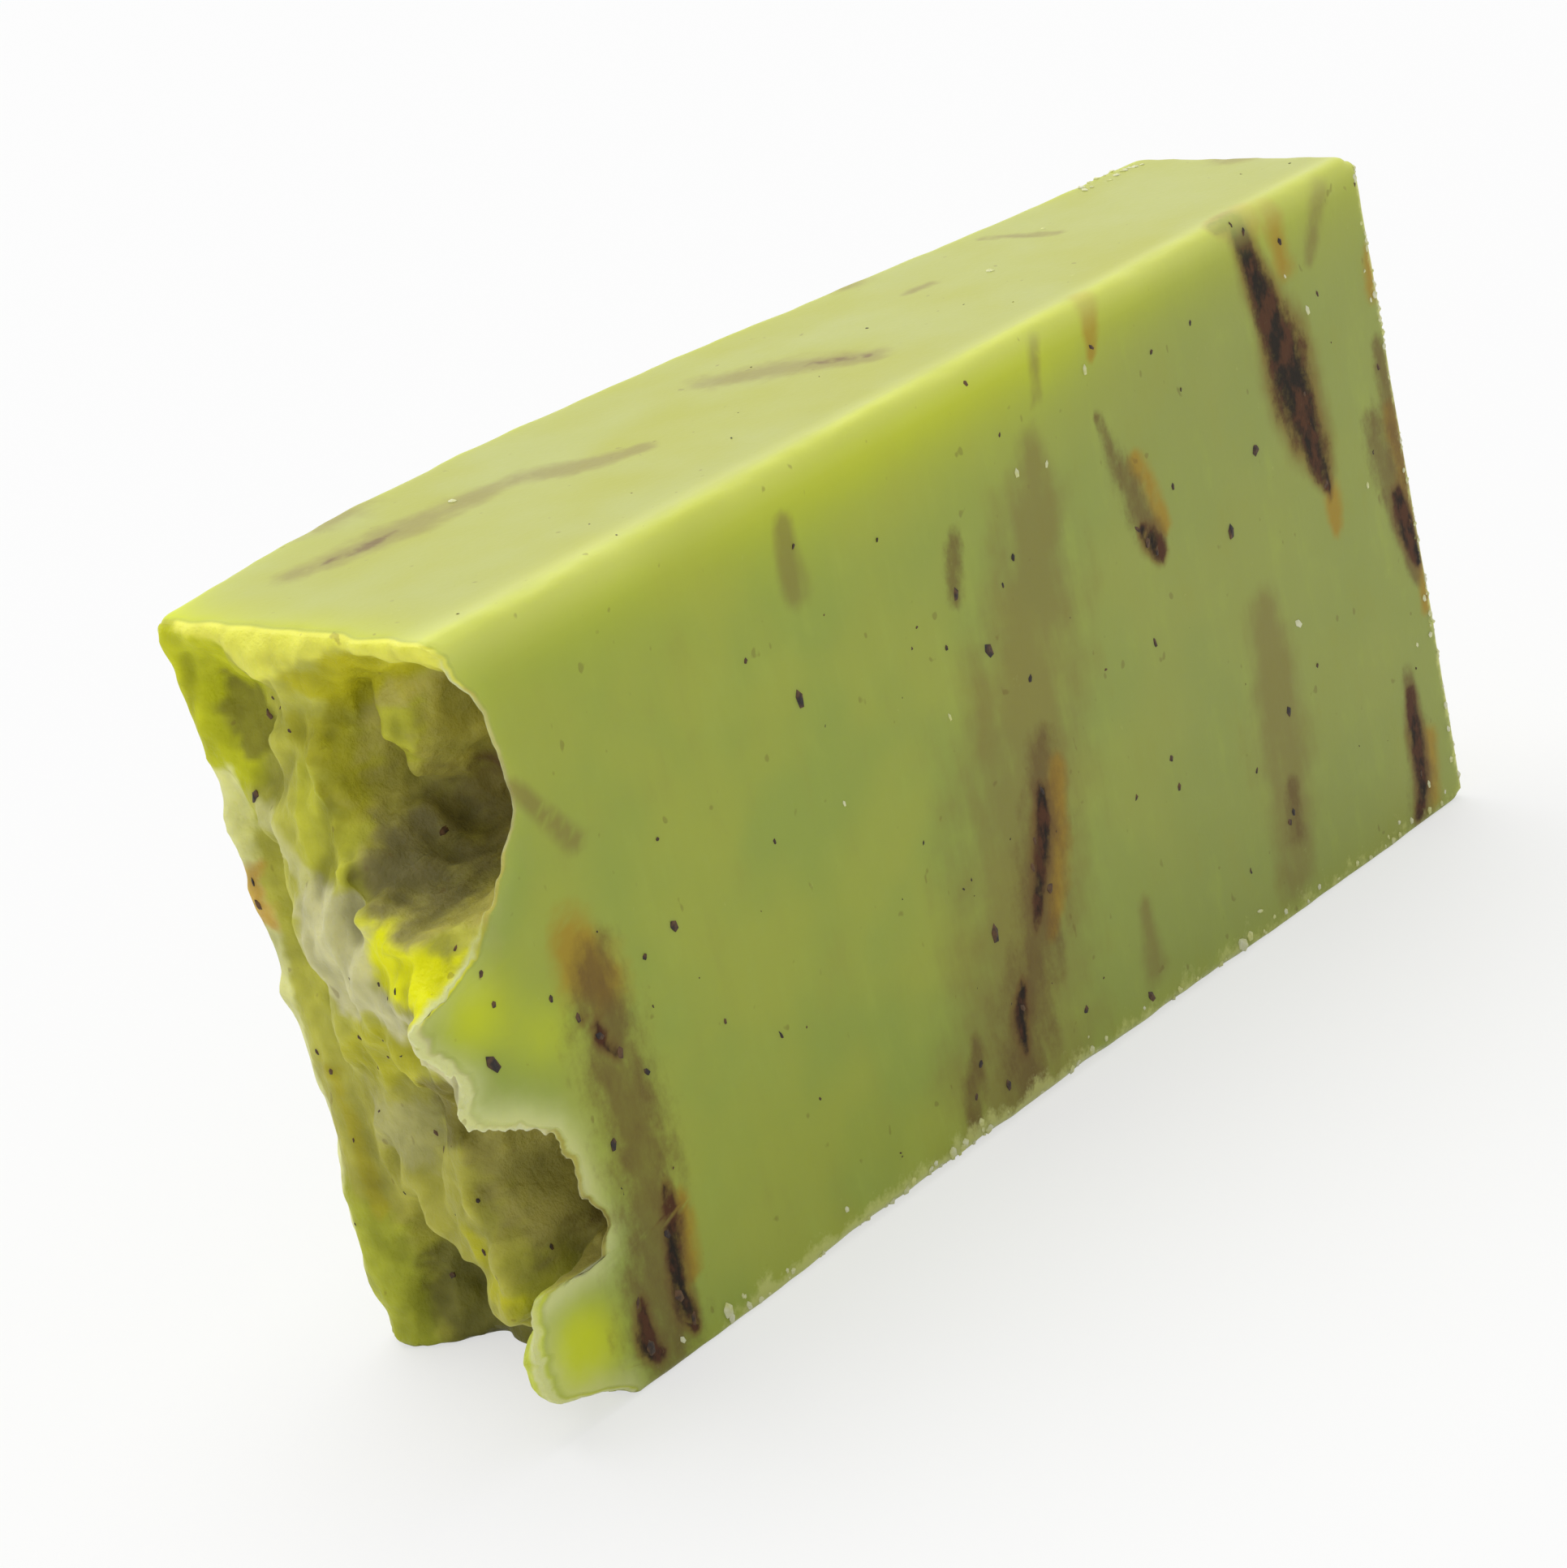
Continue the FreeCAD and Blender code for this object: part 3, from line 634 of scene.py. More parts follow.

# %% [markdown]
# ## Rind, rims and edges
# The skin near the top edge dried out first and is more yellow. Thin rims look pale, and so does the
# soap beside the tear; the rounded top front edge gets a painted highlight. Each is a mask that falls
# off with distance.

# %% Closeness to the tear
from_edge = np.full(len(shape), 99.0)
tear_line = np.stack([CRUST_X - edge_out, edge_up], 1)
for a, b in zip(tear_line[:-1], tear_line[1:]):
    share = np.clip((shape[:, [0, 2]] - a) @ (b - a) / ((b - a) @ (b - a)), 0, 1)
    away = np.linalg.norm(shape[:, [0, 2]] - a - share[:, None] * (b - a), axis=1)
    from_edge = np.minimum(from_edge, away)
torn_rim = on_crust * np.exp(-depth / 0.8) * np.interp(
    shape[:, 2], [8, 10, 19, 20.5, 24, 31, 33, 45, 47, 49],
    [1.0, 0.5, 0.5, 1.3, 1.3, 0.9, 0.5, 0.5, 0.9, 0.5])
keep("crust", on_crust)
keep("torn", torn_rim)
print("points within 2 mm of the tear:", int((from_edge < 2).sum()))

# %% Yellow rind near the edges
def on_face(gap):
    """1 on a face and 0 from 1.3 mm under it; the gap is the depth under that face."""
    return np.clip(1.3 - gap, 0, 1) * (1 - on_crust)


from_top, from_back, from_base = HEIGHT - deep[:, 2], thick - deep[:, 1], BASE_X - deep[:, 0]
on_front_face, on_back_face, on_top_face = on_face(deep[:, 1]), on_face(from_back), on_face(from_top)
along_top = np.interp(deep[:, 0], [-46, -22, -10, 8, 24, 46], [0.8, 1.1, 1.35, 1.25, 0.75, 0.8])
rind = (
    on_front_face * (np.exp(-from_top / 5.0) * along_top + 0.35 * np.exp(-deep[:, 2] / 2.5))
    + on_back_face * 0.4 * np.exp(-from_top / 4.0)
    + on_top_face * (0.45 * np.exp(-from_back / 2.4)
                     + 0.6 * np.exp(-np.clip(deep[:, 0] - CRUST_X, 0, 99) / 4.0))
)
LIME_SPOTS = ((-48.4, 5.0, 3.4, 3.6, 1.0), (-49.5, 28.5, 3.6, 3.4, 0.8), (-44.5, 24.5, 3.0, 3.0, 0.55))
lime = sum(strength * np.exp(-((deep[:, 0] - at_x) / reach_x) ** 2 - ((deep[:, 2] - at_z) / reach_z) ** 2)
           for at_x, at_z, reach_x, reach_z, strength in LIME_SPOTS)
keep("rind", np.clip(rind + on_front_face * lime, 0, 1))
keep("skin", (1 - on_front_face) * (1 - on_back_face) * (1 - on_crust))
print("rind is strong on", f"{(rind > 0.5).mean():.0%}", "of the points")

# %% Pale soap beside the tear and along the rims, and the painted highlight on the top front edge
beside_tear = on_front_face * np.exp(-(from_edge / 2.1) ** 1.3) * np.interp(
    deep[:, 2], [0, 8, 10, 20, 24, 28, 32, 36, 50], [0.7, 0.7, 0.9, 1.0, 1.0, 0.8, 0.4, 0.25, 0.2])
# Painted highlight: a pale lime band along the rounded top front edge, where the light catches it.
highlight_width = np.interp(deep[:, 0], [-46, -30, 0], [2.2, 1.9, 1.35])
glow = np.exp(-((np.hypot(deep[:, 1], from_top) - 0.3) / highlight_width) ** 2) * (1 - on_crust)
white_rim = np.maximum.reduce([
    np.exp(-(np.hypot(from_base, deep[:, 1]) / 0.7) ** 2),
    on_front_face * np.exp(-(deep[:, 2] / (1.6 + 1.1 * wobble(shape * [1, 0, 0], 3.0, 45))) ** 2)
    * np.interp(deep[:, 0], [-46, -38, -34, 0, 8, 46], [0.3, 0.4, 1.3, 1.1, 0.8, 0.5]),
])
for name, values in (("beside_tear", beside_tear), ("glow", glow), ("white_rim", white_rim)):
    keep(name, values)
print("masks:", ", ".join(a.name for a in soap_mesh.attributes if a.data_type == "FLOAT"))

# %% [markdown]
# ## Sums on sockets
# A shader is a sum of masks. To write it as a sum, a small class holds one socket: arithmetic on it
# adds Math nodes, and one method adds every other kind of node.

# %% A socket that can be added and multiplied
class Wire:
    def __init__(self, tree, socket=None):
        self.tree, self.socket = tree, socket

    def node(self, kind, settings=(), sockets=(), output=0):
        """Adds a node: its settings first, then numbers, colours or wires into its sockets."""
        made = self.tree.nodes.new(kind)
        for name, value in dict(settings).items():
            setattr(made, name, value)
        for key, value in dict(sockets).items():
            if isinstance(value, Wire):
                self.tree.links.new(value.socket, made.inputs[key])
            else:
                made.inputs[key].default_value = value
        return Wire(self.tree, made.outputs[output] if len(made.outputs) else None)

    def maths(self, operation, *numbers):
        return self.node("ShaderNodeMath", {"operation": operation}, dict(enumerate(numbers)))

    def __add__(self, other):
        return self.maths("ADD", self, other)

    def __sub__(self, other):
        return self.maths("SUBTRACT", self, other)

    def __rsub__(self, other):
        return self.maths("SUBTRACT", other, self)

    def __mul__(self, other):
        return self.maths("MULTIPLY", self, other)

    __radd__, __rmul__ = __add__, __mul__

    def ramped(self, low, high):
        """0 below low, 1 above high and smooth between."""
        return self.node("ShaderNodeMapRange", {"interpolation_type": "SMOOTHSTEP"},
                         {"Value": self, "From Min": low, "From Max": high})

    def blended(self, first, second):
        """A colour between two colours, at this wire's share."""
        return self.node("ShaderNodeMix", {"data_type": "RGBA"}, {0: self, 6: first, 7: second}, 2)

    def attribute(self, name):
        return self.node("ShaderNodeAttribute", {"attribute_name": name}, output="Fac")

    def noise(self, at, size, detail=2.0, roughness=0.5, stretch=(1, 1, 1)):
        """Noise with bumps of about that size in mm, from 0 to 1."""
        scaled = self.node("ShaderNodeMapping", {}, {"Vector": at, "Scale": stretch})
        return self.node("ShaderNodeTexNoise", {}, {
            "Vector": scaled, "Scale": 1 / (size * MM), "Detail": detail, "Roughness": roughness}, "Fac")


def new_material(name, roughness=0.5):
    material = bpy.data.materials.new(name)
    material.use_nodes = True
    shader = material.node_tree.nodes["Principled BSDF"]
    shader.inputs["Roughness"].default_value = roughness
    material.diffuse_color = (0.5, 0.55, 0.15, 1)
    return material, shader, Wire(material.node_tree)


print("a wire knows", [name for name in vars(Wire) if not name.startswith("__")])

# %% [markdown]
# ## Soap
# Soap lets light in: it goes a few millimetres deep and comes out yellower, which is what makes thin
# edges glow. The streaks are frayed with noise, so that they look like ground herb.

# %% Colours of the soap
CUT = colour(180, 190, 82)
CUT_DEEP = colour(168, 184, 84)
CUT_MILKY = colour(166, 174, 98)
SKIN = colour(190, 195, 108)
SKIN_DEEP = colour(186, 189, 80)
RIND = colour(220, 230, 44)
WHITISH = colour(230, 234, 166)
# The colour of the painted highlight along the top front edge.
EDGE_HIGHLIGHT = colour(230, 236, 134)
PALE_RIM = colour(224, 228, 142)
BAND_BROWN = colour(144, 124, 68)
BAND_BROWN_THIN = colour(170, 172, 80)
CUT_LIGHT = colour(184, 200, 92)
BROWN_HERB = colour(118, 90, 48)
DARK_HERB = colour(14, 6, 4)
HALO = colour(134, 100, 38)
ORANGE_STAIN = colour(186, 140, 30)
print("the cut face, as a linear colour:", [round(c, 2) for c in CUT[:3]])

# %% Noise in the soap, from broad clouds to grain
soap, soap_shader, wire = new_material("soap")
place = wire.node("ShaderNodeTexCoord", output="Object")
broad = wire.noise(place, 11.0, 2.0)
cloud = wire.noise(place, 4.0, 3.0, 0.55)
fray = wire.noise(place, 1.5, 4.0, 0.62, (1, 1, 0.55))
grain = wire.noise(place, 0.42, 2.0, 0.6)
crust = wire.attribute("crust")
drawn = wire.noise(place, 2.4, 3.0, 0.6, (1, 1, 0.22))
print("noise fields:", len(soap.node_tree.nodes), "nodes")

# %% Cut faces, moulded skin and crust
cut = broad.ramped(0.35, 0.65).blended(CUT, CUT_DEEP)
toward_base = wire.node("ShaderNodeSeparateXYZ", {}, {0: place}).ramped(-25 * MM, 30 * MM)
cut = (toward_base * 0.7).blended(cut, CUT_MILKY)
faint = (drawn - 0.5) * 1.2 + (cloud - 0.5) * 0.8
cut = (faint.ramped(0.0, 0.5) * 0.45).blended(cut, BAND_BROWN_THIN)
cut = ((0 - faint).ramped(0.0, 0.5) * 0.45).blended(cut, CUT_LIGHT)
body = wire.attribute("skin").blended(cut, broad.ramped(0.3, 0.7).blended(SKIN, SKIN_DEEP))
rind_share = (wire.attribute("rind") * (0.55 + broad * 0.7)).ramped(0.05, 1.0)
body = (rind_share * 0.95).blended(body, RIND)
pale_share = (wire.attribute("beside_tear") + (cloud - 0.5) * 0.5).ramped(0.1, 1.0)
body = (pale_share * 0.85).blended(body, WHITISH)
# The crust's painted colours, with painted shade in its craters, hollows and creases.
rough_soap = wire.node("ShaderNodeAttribute", {"attribute_name": "crust_colour_and_shade"}, output="Color")
torn_share = (wire.attribute("torn") + (fray - 0.5) * 0.6).ramped(0.35, 0.75)
rough_soap = (torn_share * 0.9).blended(rough_soap, WHITISH)
body = crust.ramped(0.2, 0.6).blended(body, rough_soap)
print("soap so far:", len(soap.node_tree.nodes), "nodes")

# %% [markdown]
# ## Streaks, rims and relief
# Broad brown bands lie under thin dark streaks, with a brown halo where herb oil soaked into the
# soap. Noise drawn out upwards gives them the strokes of a poured batch.

# %% Streaks over the soap
band_in = wire.attribute("band") + (cloud - 0.5) * 1.3 + (drawn - 0.5) * 1.1
brown_in = wire.attribute("brown") + (fray - 0.5) * 1.7 + (drawn - 0.5) * 1.6 + (grain - 0.5) * 0.5
dark_in = wire.attribute("dark") + (fray - 0.5) * 2.0 + (drawn - 0.5) * 1.6 + (grain - 0.5) * 0.6
orange_in = wire.attribute("orange") + (cloud - 0.5) * 2.0
body = (band_in.ramped(-0.4, 0.8) * 0.6).blended(body, BAND_BROWN)
body = (orange_in.ramped(-0.7, 0.7) * 0.7).blended(body, ORANGE_STAIN)
halo_in = wire.attribute("dark") + (cloud - 0.5) * 1.2 + (drawn - 0.5) * 1.0
body = (halo_in.ramped(-1.3, 0.2) * 0.85).blended(body, HALO)
body = (brown_in.ramped(-0.7, 0.8) * (0.42 + fray * 0.6)).blended(body, BROWN_HERB)
dark_share = dark_in.ramped(-0.4, 0.5)
body = (dark_share * 0.96).blended(body, fray.ramped(0.42, 0.6).blended(DARK_HERB, colour(88, 52, 30)))
print("with its streaks:", len(soap.node_tree.nodes), "nodes")

# %% Rims, the painted highlight on the top front edge, and freckles
# Painted highlight along the rounded top front edge.
body = (wire.attribute("glow") * (0.4 + broad * 0.6)).blended(body, EDGE_HIGHLIGHT)
white_share = (wire.attribute("white_rim") + (fray - 0.5) * 1.8 + (grain - 0.5) * 0.8).ramped(0.35, 1.0)
body = (white_share * 0.75).blended(body, PALE_RIM)
freckle = wire.noise(place, 0.9, 1.0, 0.5, (1, 1, 0.7)).ramped(0.74, 0.80)
body = (freckle * 0.35).blended(body, BROWN_HERB)
print("with its rims:", len(soap.node_tree.nodes), "nodes")

# %% Relief, gloss and the light inside
relief = crust * grain * 0.34 + crust * fray * 0.55 + grain * 0.035 + fray * 0.05 + cloud * 0.05
bumped = wire.node("ShaderNodeBump", {}, {"Height": relief, "Distance": 0.6 * MM, "Strength": 0.7})
gloss = 0.40 + crust * 0.14 + (cloud - 0.5) * 0.12 + dark_share * 0.15 + (grain - 0.5) * 0.06
for socket, source in (("Base Color", body), ("Roughness", gloss), ("Normal", bumped)):
    soap.node_tree.links.new(source.socket, soap_shader.inputs[socket])
for socket, value in (("IOR", 1.46), ("Specular IOR Level", 0.22), ("Subsurface Weight", 0.5),
                      ("Subsurface Radius", (1.0, 0.95, 0.32)), ("Subsurface Scale", 1.8 * MM)):
    soap_shader.inputs[socket].default_value = value
soap_mesh.materials.append(soap)
print("soap:", len(soap.node_tree.nodes), "nodes")

# %% [markdown]
# ## Flecks of herb, pale grains and crumbs
# The soap is full of ground herb: flakes up to 1.7 mm long that lie in the surface. Where it was cut
# and handled, crumbs stick to the edges. All three are one Geometry Nodes tree: a grain on every
# point, with the point's own turn and stretch, made uneven by noise. The points are found by a ray
# from outside, so each one sits on the real surface.

# %% One tree for every kind of grain
grain_tree = bpy.data.node_groups.new("strewn_grains", "GeometryNodeTree")
GRAIN_INPUTS = {"Points": "Geometry", "Grain size": "Float", "Unevenness": "Float", "Finish": "Material"}
for name, kind in GRAIN_INPUTS.items():
    grain_tree.interface.new_socket(name, in_out="INPUT", socket_type="NodeSocket" + kind)
grain_tree.interface.new_socket("Grains", in_out="OUTPUT", socket_type="NodeSocketGeometry")
nodes = Wire(grain_tree)
given = grain_tree.nodes.new("NodeGroupInput")
points_in, size_in, uneven_in, finish_in = (Wire(grain_tree, given.outputs[i]) for i in range(4))
ball = nodes.node("GeometryNodeMeshIcoSphere", {}, {"Radius": size_in, "Subdivisions": 1})
dots = nodes.node("GeometryNodeMeshToPoints", {}, {"Mesh": points_in})
turn, stretch = (
    nodes.node("GeometryNodeInputNamedAttribute", {"data_type": "FLOAT_VECTOR"}, {"Name": name})
    for name in ("turn", "stretch"))
strewn = nodes.node("GeometryNodeInstanceOnPoints", {}, {
    "Points": dots, "Instance": ball, "Rotation": turn, "Scale": stretch})
real = nodes.node("GeometryNodeRealizeInstances", {}, {"Geometry": strewn})
spot = nodes.node("GeometryNodeInputPosition")
lumpy = nodes.node("ShaderNodeTexNoise", {}, {
    "Vector": spot, "Scale": 1 / (0.45 * MM), "Detail": 2.0}, "Color")
centred = nodes.node("ShaderNodeVectorMath", {"operation": "SUBTRACT"}, {0: lumpy, 1: (0.5, 0.5, 0.5)})
pushed = nodes.node("ShaderNodeVectorMath", {"operation": "SCALE"}, {0: centred, "Scale": uneven_in})
uneven = nodes.node("GeometryNodeSetPosition", {}, {"Geometry": real, "Offset": pushed})
finished = nodes.node("GeometryNodeSetMaterial", {}, {"Geometry": uneven, "Material": finish_in})
grain_tree.links.new(finished.socket, grain_tree.nodes.new("NodeGroupOutput").inputs[0])
GRAIN_SOCKETS = {
    item.name: item.identifier for item in grain_tree.interface.items_tree if item.in_out == "INPUT"}
print("inputs of the tree:", GRAIN_SOCKETS)

# %% Rays that find the surface
surface = BVHTree.FromPolygons(
    (shape * MM).tolist(), [tuple(face.vertices) for face in soap_mesh.polygons])
SIDES = {  # for a place (a, b) in mm: where its ray starts, well outside the bar, and its way
    "front": (lambda a, b: (a, -60, b), (0, 1, 0)),
    "back": (lambda a, b: (a, 60, b), (0, -1, 0)),
    "top": (lambda a, b: (a, FRONT_Y + b, 90), (0, 0, -1)),
    "foot": (lambda a, b: (a, FRONT_Y + b, -40), (0, 0, 1)),
    "base": (lambda a, b: (90, FRONT_Y + a, b), (-1, 0, 0)),
    "crust": (lambda a, b: (-90, FRONT_Y + a, b), (1, 0, 0)),
}


def landed(side, a, b):
    start, way = SIDES[side]
    return surface.ray_cast(Vector(start(a, b)) * MM, Vector(way))[:2]


print("the front's middle is at", [round(c / MM, 1) for c in landed("front", 0, 25)[0]])

# %% Strew grains on the surface
IN_THE_FOOT = 1.4  # what lies under the bar is sunk by this share, so that the bar stands flat
NEAR_FLOOR = 1.5  # a grain lower than this, in mm, is lifted clear of the floor


def strew(name, spots, finish, uneven, sink):
    """A piece of grains; each spot is (side, a, b, length, width, thickness, lean in degrees)."""
    places, turns, stretches = [], [], []
    for side, a, b, length, width, thickness, lean in spots:
        place, out = landed(side, a, b)
        if place is None:
            continue
        upright = Vector((0, 1, 0)) if side in ("top", "foot") else Vector((0, 0, 1))
        uphill = (upright - out * upright.dot(out)).normalized()
        along = Matrix.Rotation(np.radians(lean), 3, out) @ uphill
        turns.append(Matrix((along, out.cross(along), out)).transposed().to_euler())
        thickness = thickness / 2
        place = place - out * thickness * (IN_THE_FOOT if side == "foot" else sink) * MM
        lowest = max(length, width) / 2 * MM if place.z < NEAR_FLOOR * MM else 0
        places.append((place.x, place.y, max(place.z, lowest if side != "foot" else place.z)))
        stretches.append((length / 2, width / 2, thickness))
    mesh = bpy.data.meshes.new(name)
    mesh.from_pydata(places, [], [])
    for key, values in (("turn", turns), ("stretch", stretches)):
        mesh.attributes.new(key, "FLOAT_VECTOR", "POINT").data.foreach_set(
            "vector", np.array([list(v) for v in values], np.float32).ravel())
    piece = bpy.data.objects.new(name, mesh)
    bpy.context.scene.collection.objects.link(piece)
    modifier = piece.modifiers.new("strewn", "NODES")
    modifier.node_group = grain_tree
    for key, value in (("Grain size", MM), ("Unevenness", uneven * MM), ("Finish", finish)):
        modifier[GRAIN_SOCKETS[key]] = value
    made = piece.evaluated_get(bpy.context.evaluated_depsgraph_get())
    whole = bpy.data.meshes.new_from_object(made)
    piece.modifiers.clear()
    piece.data = whole
    whole.name = name
    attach(piece, "root")
    print(name, len(places), "grains,", sum(len(f.vertices) - 2 for f in whole.polygons), "triangles")


print("grains land on:", ", ".join(SIDES))

# %% Where the large grains lie
# Each is its place and its length in mm: along and up on the front, behind and up on the crust.
FLAKES_FRONT = """
1.9 48.5 .5, 4.1 44.1 .5, 24.8 44.6 .5, 22.6 40.6 .35, 29.2 33.8 .95, 19.9 34.6 .5, 25 29.3 1.1, 15 25.1 .7,
31.6 16.3 .6, 27.6 14.6 .8, 14.3 16.8 .6, 14.5 14.5 .6, 10 15.7 .5, 22.9 12.1 .5, 20.3 5.4 .5, 2.9 36.1 .6,
1.4 34.8 .5, -3.1 35.9 .9, -1.2 31.2 1.2, 2.1 27.8 .6, -18.6 35.1 1.3, -16.2 44.4 .45, -22.3 39.2 .4,
-23.4 27.6 .45, -10.8 21.7 .35, 35.9 46.7 .6, 39 41.8 .5, 45.4 47.8 .5, 44.5 34.4 .6, -.7 17.3 .6,
-1.4 15.6 .7, 25.4 6.9 .7, -33.1 26.3 .8, -26.7 15.7 .6, -30.9 18.7 .4, -35.9 25.5 .5, -6.2 13 1.4,
-5.1 7 .7, -10.1 5.3 .5, -8 2.6 .9,
-11.2 3.4 .6, .8 4 .6, 7.5 1.7 1.0, 26 7.4 .6, -42.1 24.5 .8, -40.8 22.6 .8, -39.6 20.9 .8, -38 18.8 .6,
-41.9 15.8 .8, -42.2 12.7 .6, -43.2 5.5 .7, -43.1 2.3 1.1, -43.7 26.5 .5, -48.2 30.3 .5, -47.9 28.2 .5,
-49.1 24.9 1.4, 14.5 46.5 .6, 16.2 31.9 .7, 15.4 33.2 .6, 17 31 .7, 45.1 22.2 .6, 45.4 19.6 .5, 41.2 3.8 .5,
32.2 48.6 .6, 31.2 49.4 .5, 36.2 28.6 .7, 1 20.2 .7, -.2 13.6 .8, -39.6 8.4 .7, -39.9 4.2 1.0, -39.2 2.2 .9
"""
FLAKES_CRUST = """
16.3 44.3 .6, 20.1 38.4 1.3, .7 45.6 .5, 7.5 35.9 1.1, 4.6 29.9 .6, 7.7 29.3 .5, 1.1 32 .6, 10.5 17.2 .8,
9.7 16.4 .7, 6.9 10.4 .8, 3.4 10.2 .7, 16.5 4.5 .8, 16.2 11.6 .6, 20.4 21.1 .7, 19.6 19.9 .7, 22.6 32.4 .9,
22.5 30.9 1.1, .6 9.2 1.1, 10.2 24.7 .5, 13.3 24.1 .5, 6 14.2 .5, 18.9 43.2 .9, 9.2 12.4 .5, 13.5 6.2 .6
"""
PALE_FRONT = """
37.6 41.1 .9, 13.4 45.3 .9, 4.9 41.2 .8, 7.9 40.7 .6, -6 28.5 .7, 40.9 26.7 .6, 43.4 13.2 .5, 30.4 20.2 1.0,
41.9 2.6 .7, -40.5 1.4 .7, 45.5 43 .6, 35.8 44.2 .4, -16.9 27.2 .5
"""
print("large flakes:", FLAKES_FRONT.count(",") + FLAKES_CRUST.count(",") + 2)

# %% Lists of spots
dice = np.random.default_rng(11)


def listed(side, text, flat, scale=1.0):
    """Spots from a list of places and lengths."""
    rows = [[float(n) for n in spot.split()] for spot in text.replace("\n", " ").split(",") if spot.strip()]
    return [(side, a, b, size * scale, size * scale * dice.uniform(0.42, 0.7), size * flat,
             dice.normal(0, 22)) for a, b, size in rows]


def scattered(side, count, spans, sizes, flat):
    """Spots at random places, for the sides that no list describes."""
    (a0, a1), (b0, b1) = spans
    return [(side, dice.uniform(a0, a1), dice.uniform(b0, b1), size, size * dice.uniform(0.4, 0.8),
             size * flat, dice.uniform(-60, 60))
            for size in dice.triangular(sizes[0], sizes[0], sizes[1], count)]


print("the first flake, along, up and long:", FLAKES_FRONT.split(",")[0].strip())

# %% Flakes of herb
def grain_material(name, roughness, first, second, patch, bump_size, bump):
    """Two mixed colours and a fine relief; the last three are lengths in mm."""
    material, shader, wire = new_material(name, roughness)
    place = wire.node("ShaderNodeTexCoord", output="Object")
    mixed = wire.noise(place, patch, 2.0).ramped(0.35, 0.65).blended(colour(*first), colour(*second))
    rough = wire.node("ShaderNodeBump", {}, {
        "Height": wire.noise(place, bump_size, 2.0), "Distance": bump * MM})
    for socket, source in (("Base Color", mixed), ("Normal", rough)):
        material.node_tree.links.new(source.socket, shader.inputs[socket])
    return material


flake = grain_material("herb_flake", 0.6, (34, 24, 18), (104, 72, 38), 0.8, 0.15, 0.05)
strew("herb_flakes", (
    listed("front", FLAKES_FRONT, 0.3, 1.2) + listed("crust", FLAKES_CRUST, 0.3, 0.85)
    + scattered("front", 46, ((-40, 45), (2, 47)), (0.14, 0.5), 0.3)
    + scattered("top", 14, ((-42, 45), (1, 18)), (0.14, 0.4), 0.3)
    + scattered("crust", 26, ((1, 22), (2, 47)), (0.2, 0.5), 0.3)
    + scattered("back", 80, ((-43, 45), (2, 48)), (0.2, 1.1), 0.3)
    + scattered("base", 26, ((1, 18), (2, 48)), (0.2, 0.9), 0.3)
    + scattered("foot", 24, ((-40, 44), (2, 17)), (0.2, 0.8), 0.3)
), flake, 0.30, 0.35)

# %% Pale grains
pale_grain = grain_material(
    "pale_grain", 0.65, (226, 228, 150), (238, 238, 206), 1.2, 0.2, 0.08)
strew("pale_grains", (
    listed("front", PALE_FRONT, 0.5) + listed("top", "-25.8 19.3 .9, 19.4 12.1 .9, 28.6 14.8 .5", 0.5)
    + scattered("back", 12, ((-43, 45), (2, 48)), (0.3, 0.8), 0.5)
    + scattered("base", 4, ((1, 18), (2, 48)), (0.3, 0.7), 0.5)
), pale_grain, 0.15, 0.3)

# %% Crumbs along the edges
def crumbs_on(side, a, b, sizes, thickness=0.7):
    return [(side, *spot, size, size * 0.8, size * thickness, 0) for *spot, size in zip(a, b, sizes)]


crumbs = crumbs_on("front", dice.uniform(-37, 44, 74), np.maximum(0.35, dice.exponential(0.5, 74) + 0.25),
                   dice.triangular(0.25, 0.3, 0.9, 74))
crumbs += crumbs_on("front", 45.9 - (dice.exponential(0.25, 60) + 0.05), dice.uniform(1, 49, 60),
                    dice.triangular(0.25, 0.3, 0.8, 60))
crumbs += crumbs_on("base", dice.exponential(0.3, 30) + 0.2, dice.uniform(1, 49, 30),
                    dice.triangular(0.2, 0.3, 0.7, 30))
crumbs += crumbs_on("top", dice.uniform(37, 45.5, 26), dice.uniform(17.2, 20, 26),
                    dice.triangular(0.25, 0.4, 0.9, 26), 0.6)
crumbs += [("front", 17.9, 0.6, 1.5, 1.0, 0.9, 40), ("front", 18.8, 1.0, 0.9, 0.7, 0.7, 0),
           ("front", -14.4, 0.9, 0.9, 0.8, 0.6, 0), ("front", -10.5, 0.6, 0.9, 0.8, 0.6, 0),
           ("front", 20.4, 2.2, 0.8, 0.3, 0.4, 70), ("front", -36.4, 1.2, 1.2, 0.9, 0.7, 0)]
strew("edge_crumbs", crumbs, pale_grain, 0.30, 0.2)

# %% [markdown]
# ## Floor
# A sheet of white paper. What the camera sees of it is mixed with plain white, so it comes out white
# with no more light on the soap, and the soap's shadow stays on it.

# %% Floor
REACH, FLOOR_Z = 3, -0.02 * MM  # metres; just under the bar, so the two never share a plane
PLAIN_SHARE = 0.62  # how much of the paper's look is plain white to the camera
floor_mesh = bpy.data.meshes.new("studio_floor")
floor_mesh.from_pydata([(x, y, FLOOR_Z) for x, y in (
    (-REACH, -REACH), (REACH, -REACH), (REACH, REACH), (-REACH, REACH))], [], [(0, 1, 2, 3)])
floor = bpy.data.objects.new("studio_floor", floor_mesh)
bpy.context.scene.collection.objects.link(floor)
paper, paper_shader, wire = new_material("white_paper", 0.8)
paper_shader.inputs["Base Color"].default_value = (0.9, 0.9, 0.9, 1)
paper_shader.inputs["Specular IOR Level"].default_value = 0.2


def seen_plainly(wire):
    """1 for what the camera sees, straight or through gloss or glass, and 0 for what lights the soap."""
    rays = wire.node("ShaderNodeLightPath").socket.node.outputs
    kinds = ("Is Camera Ray", "Is Glossy Ray", "Is Transmission Ray")
    return wire.maths("MINIMUM", sum(Wire(wire.tree, rays[kind]) for kind in kinds), 1.0)


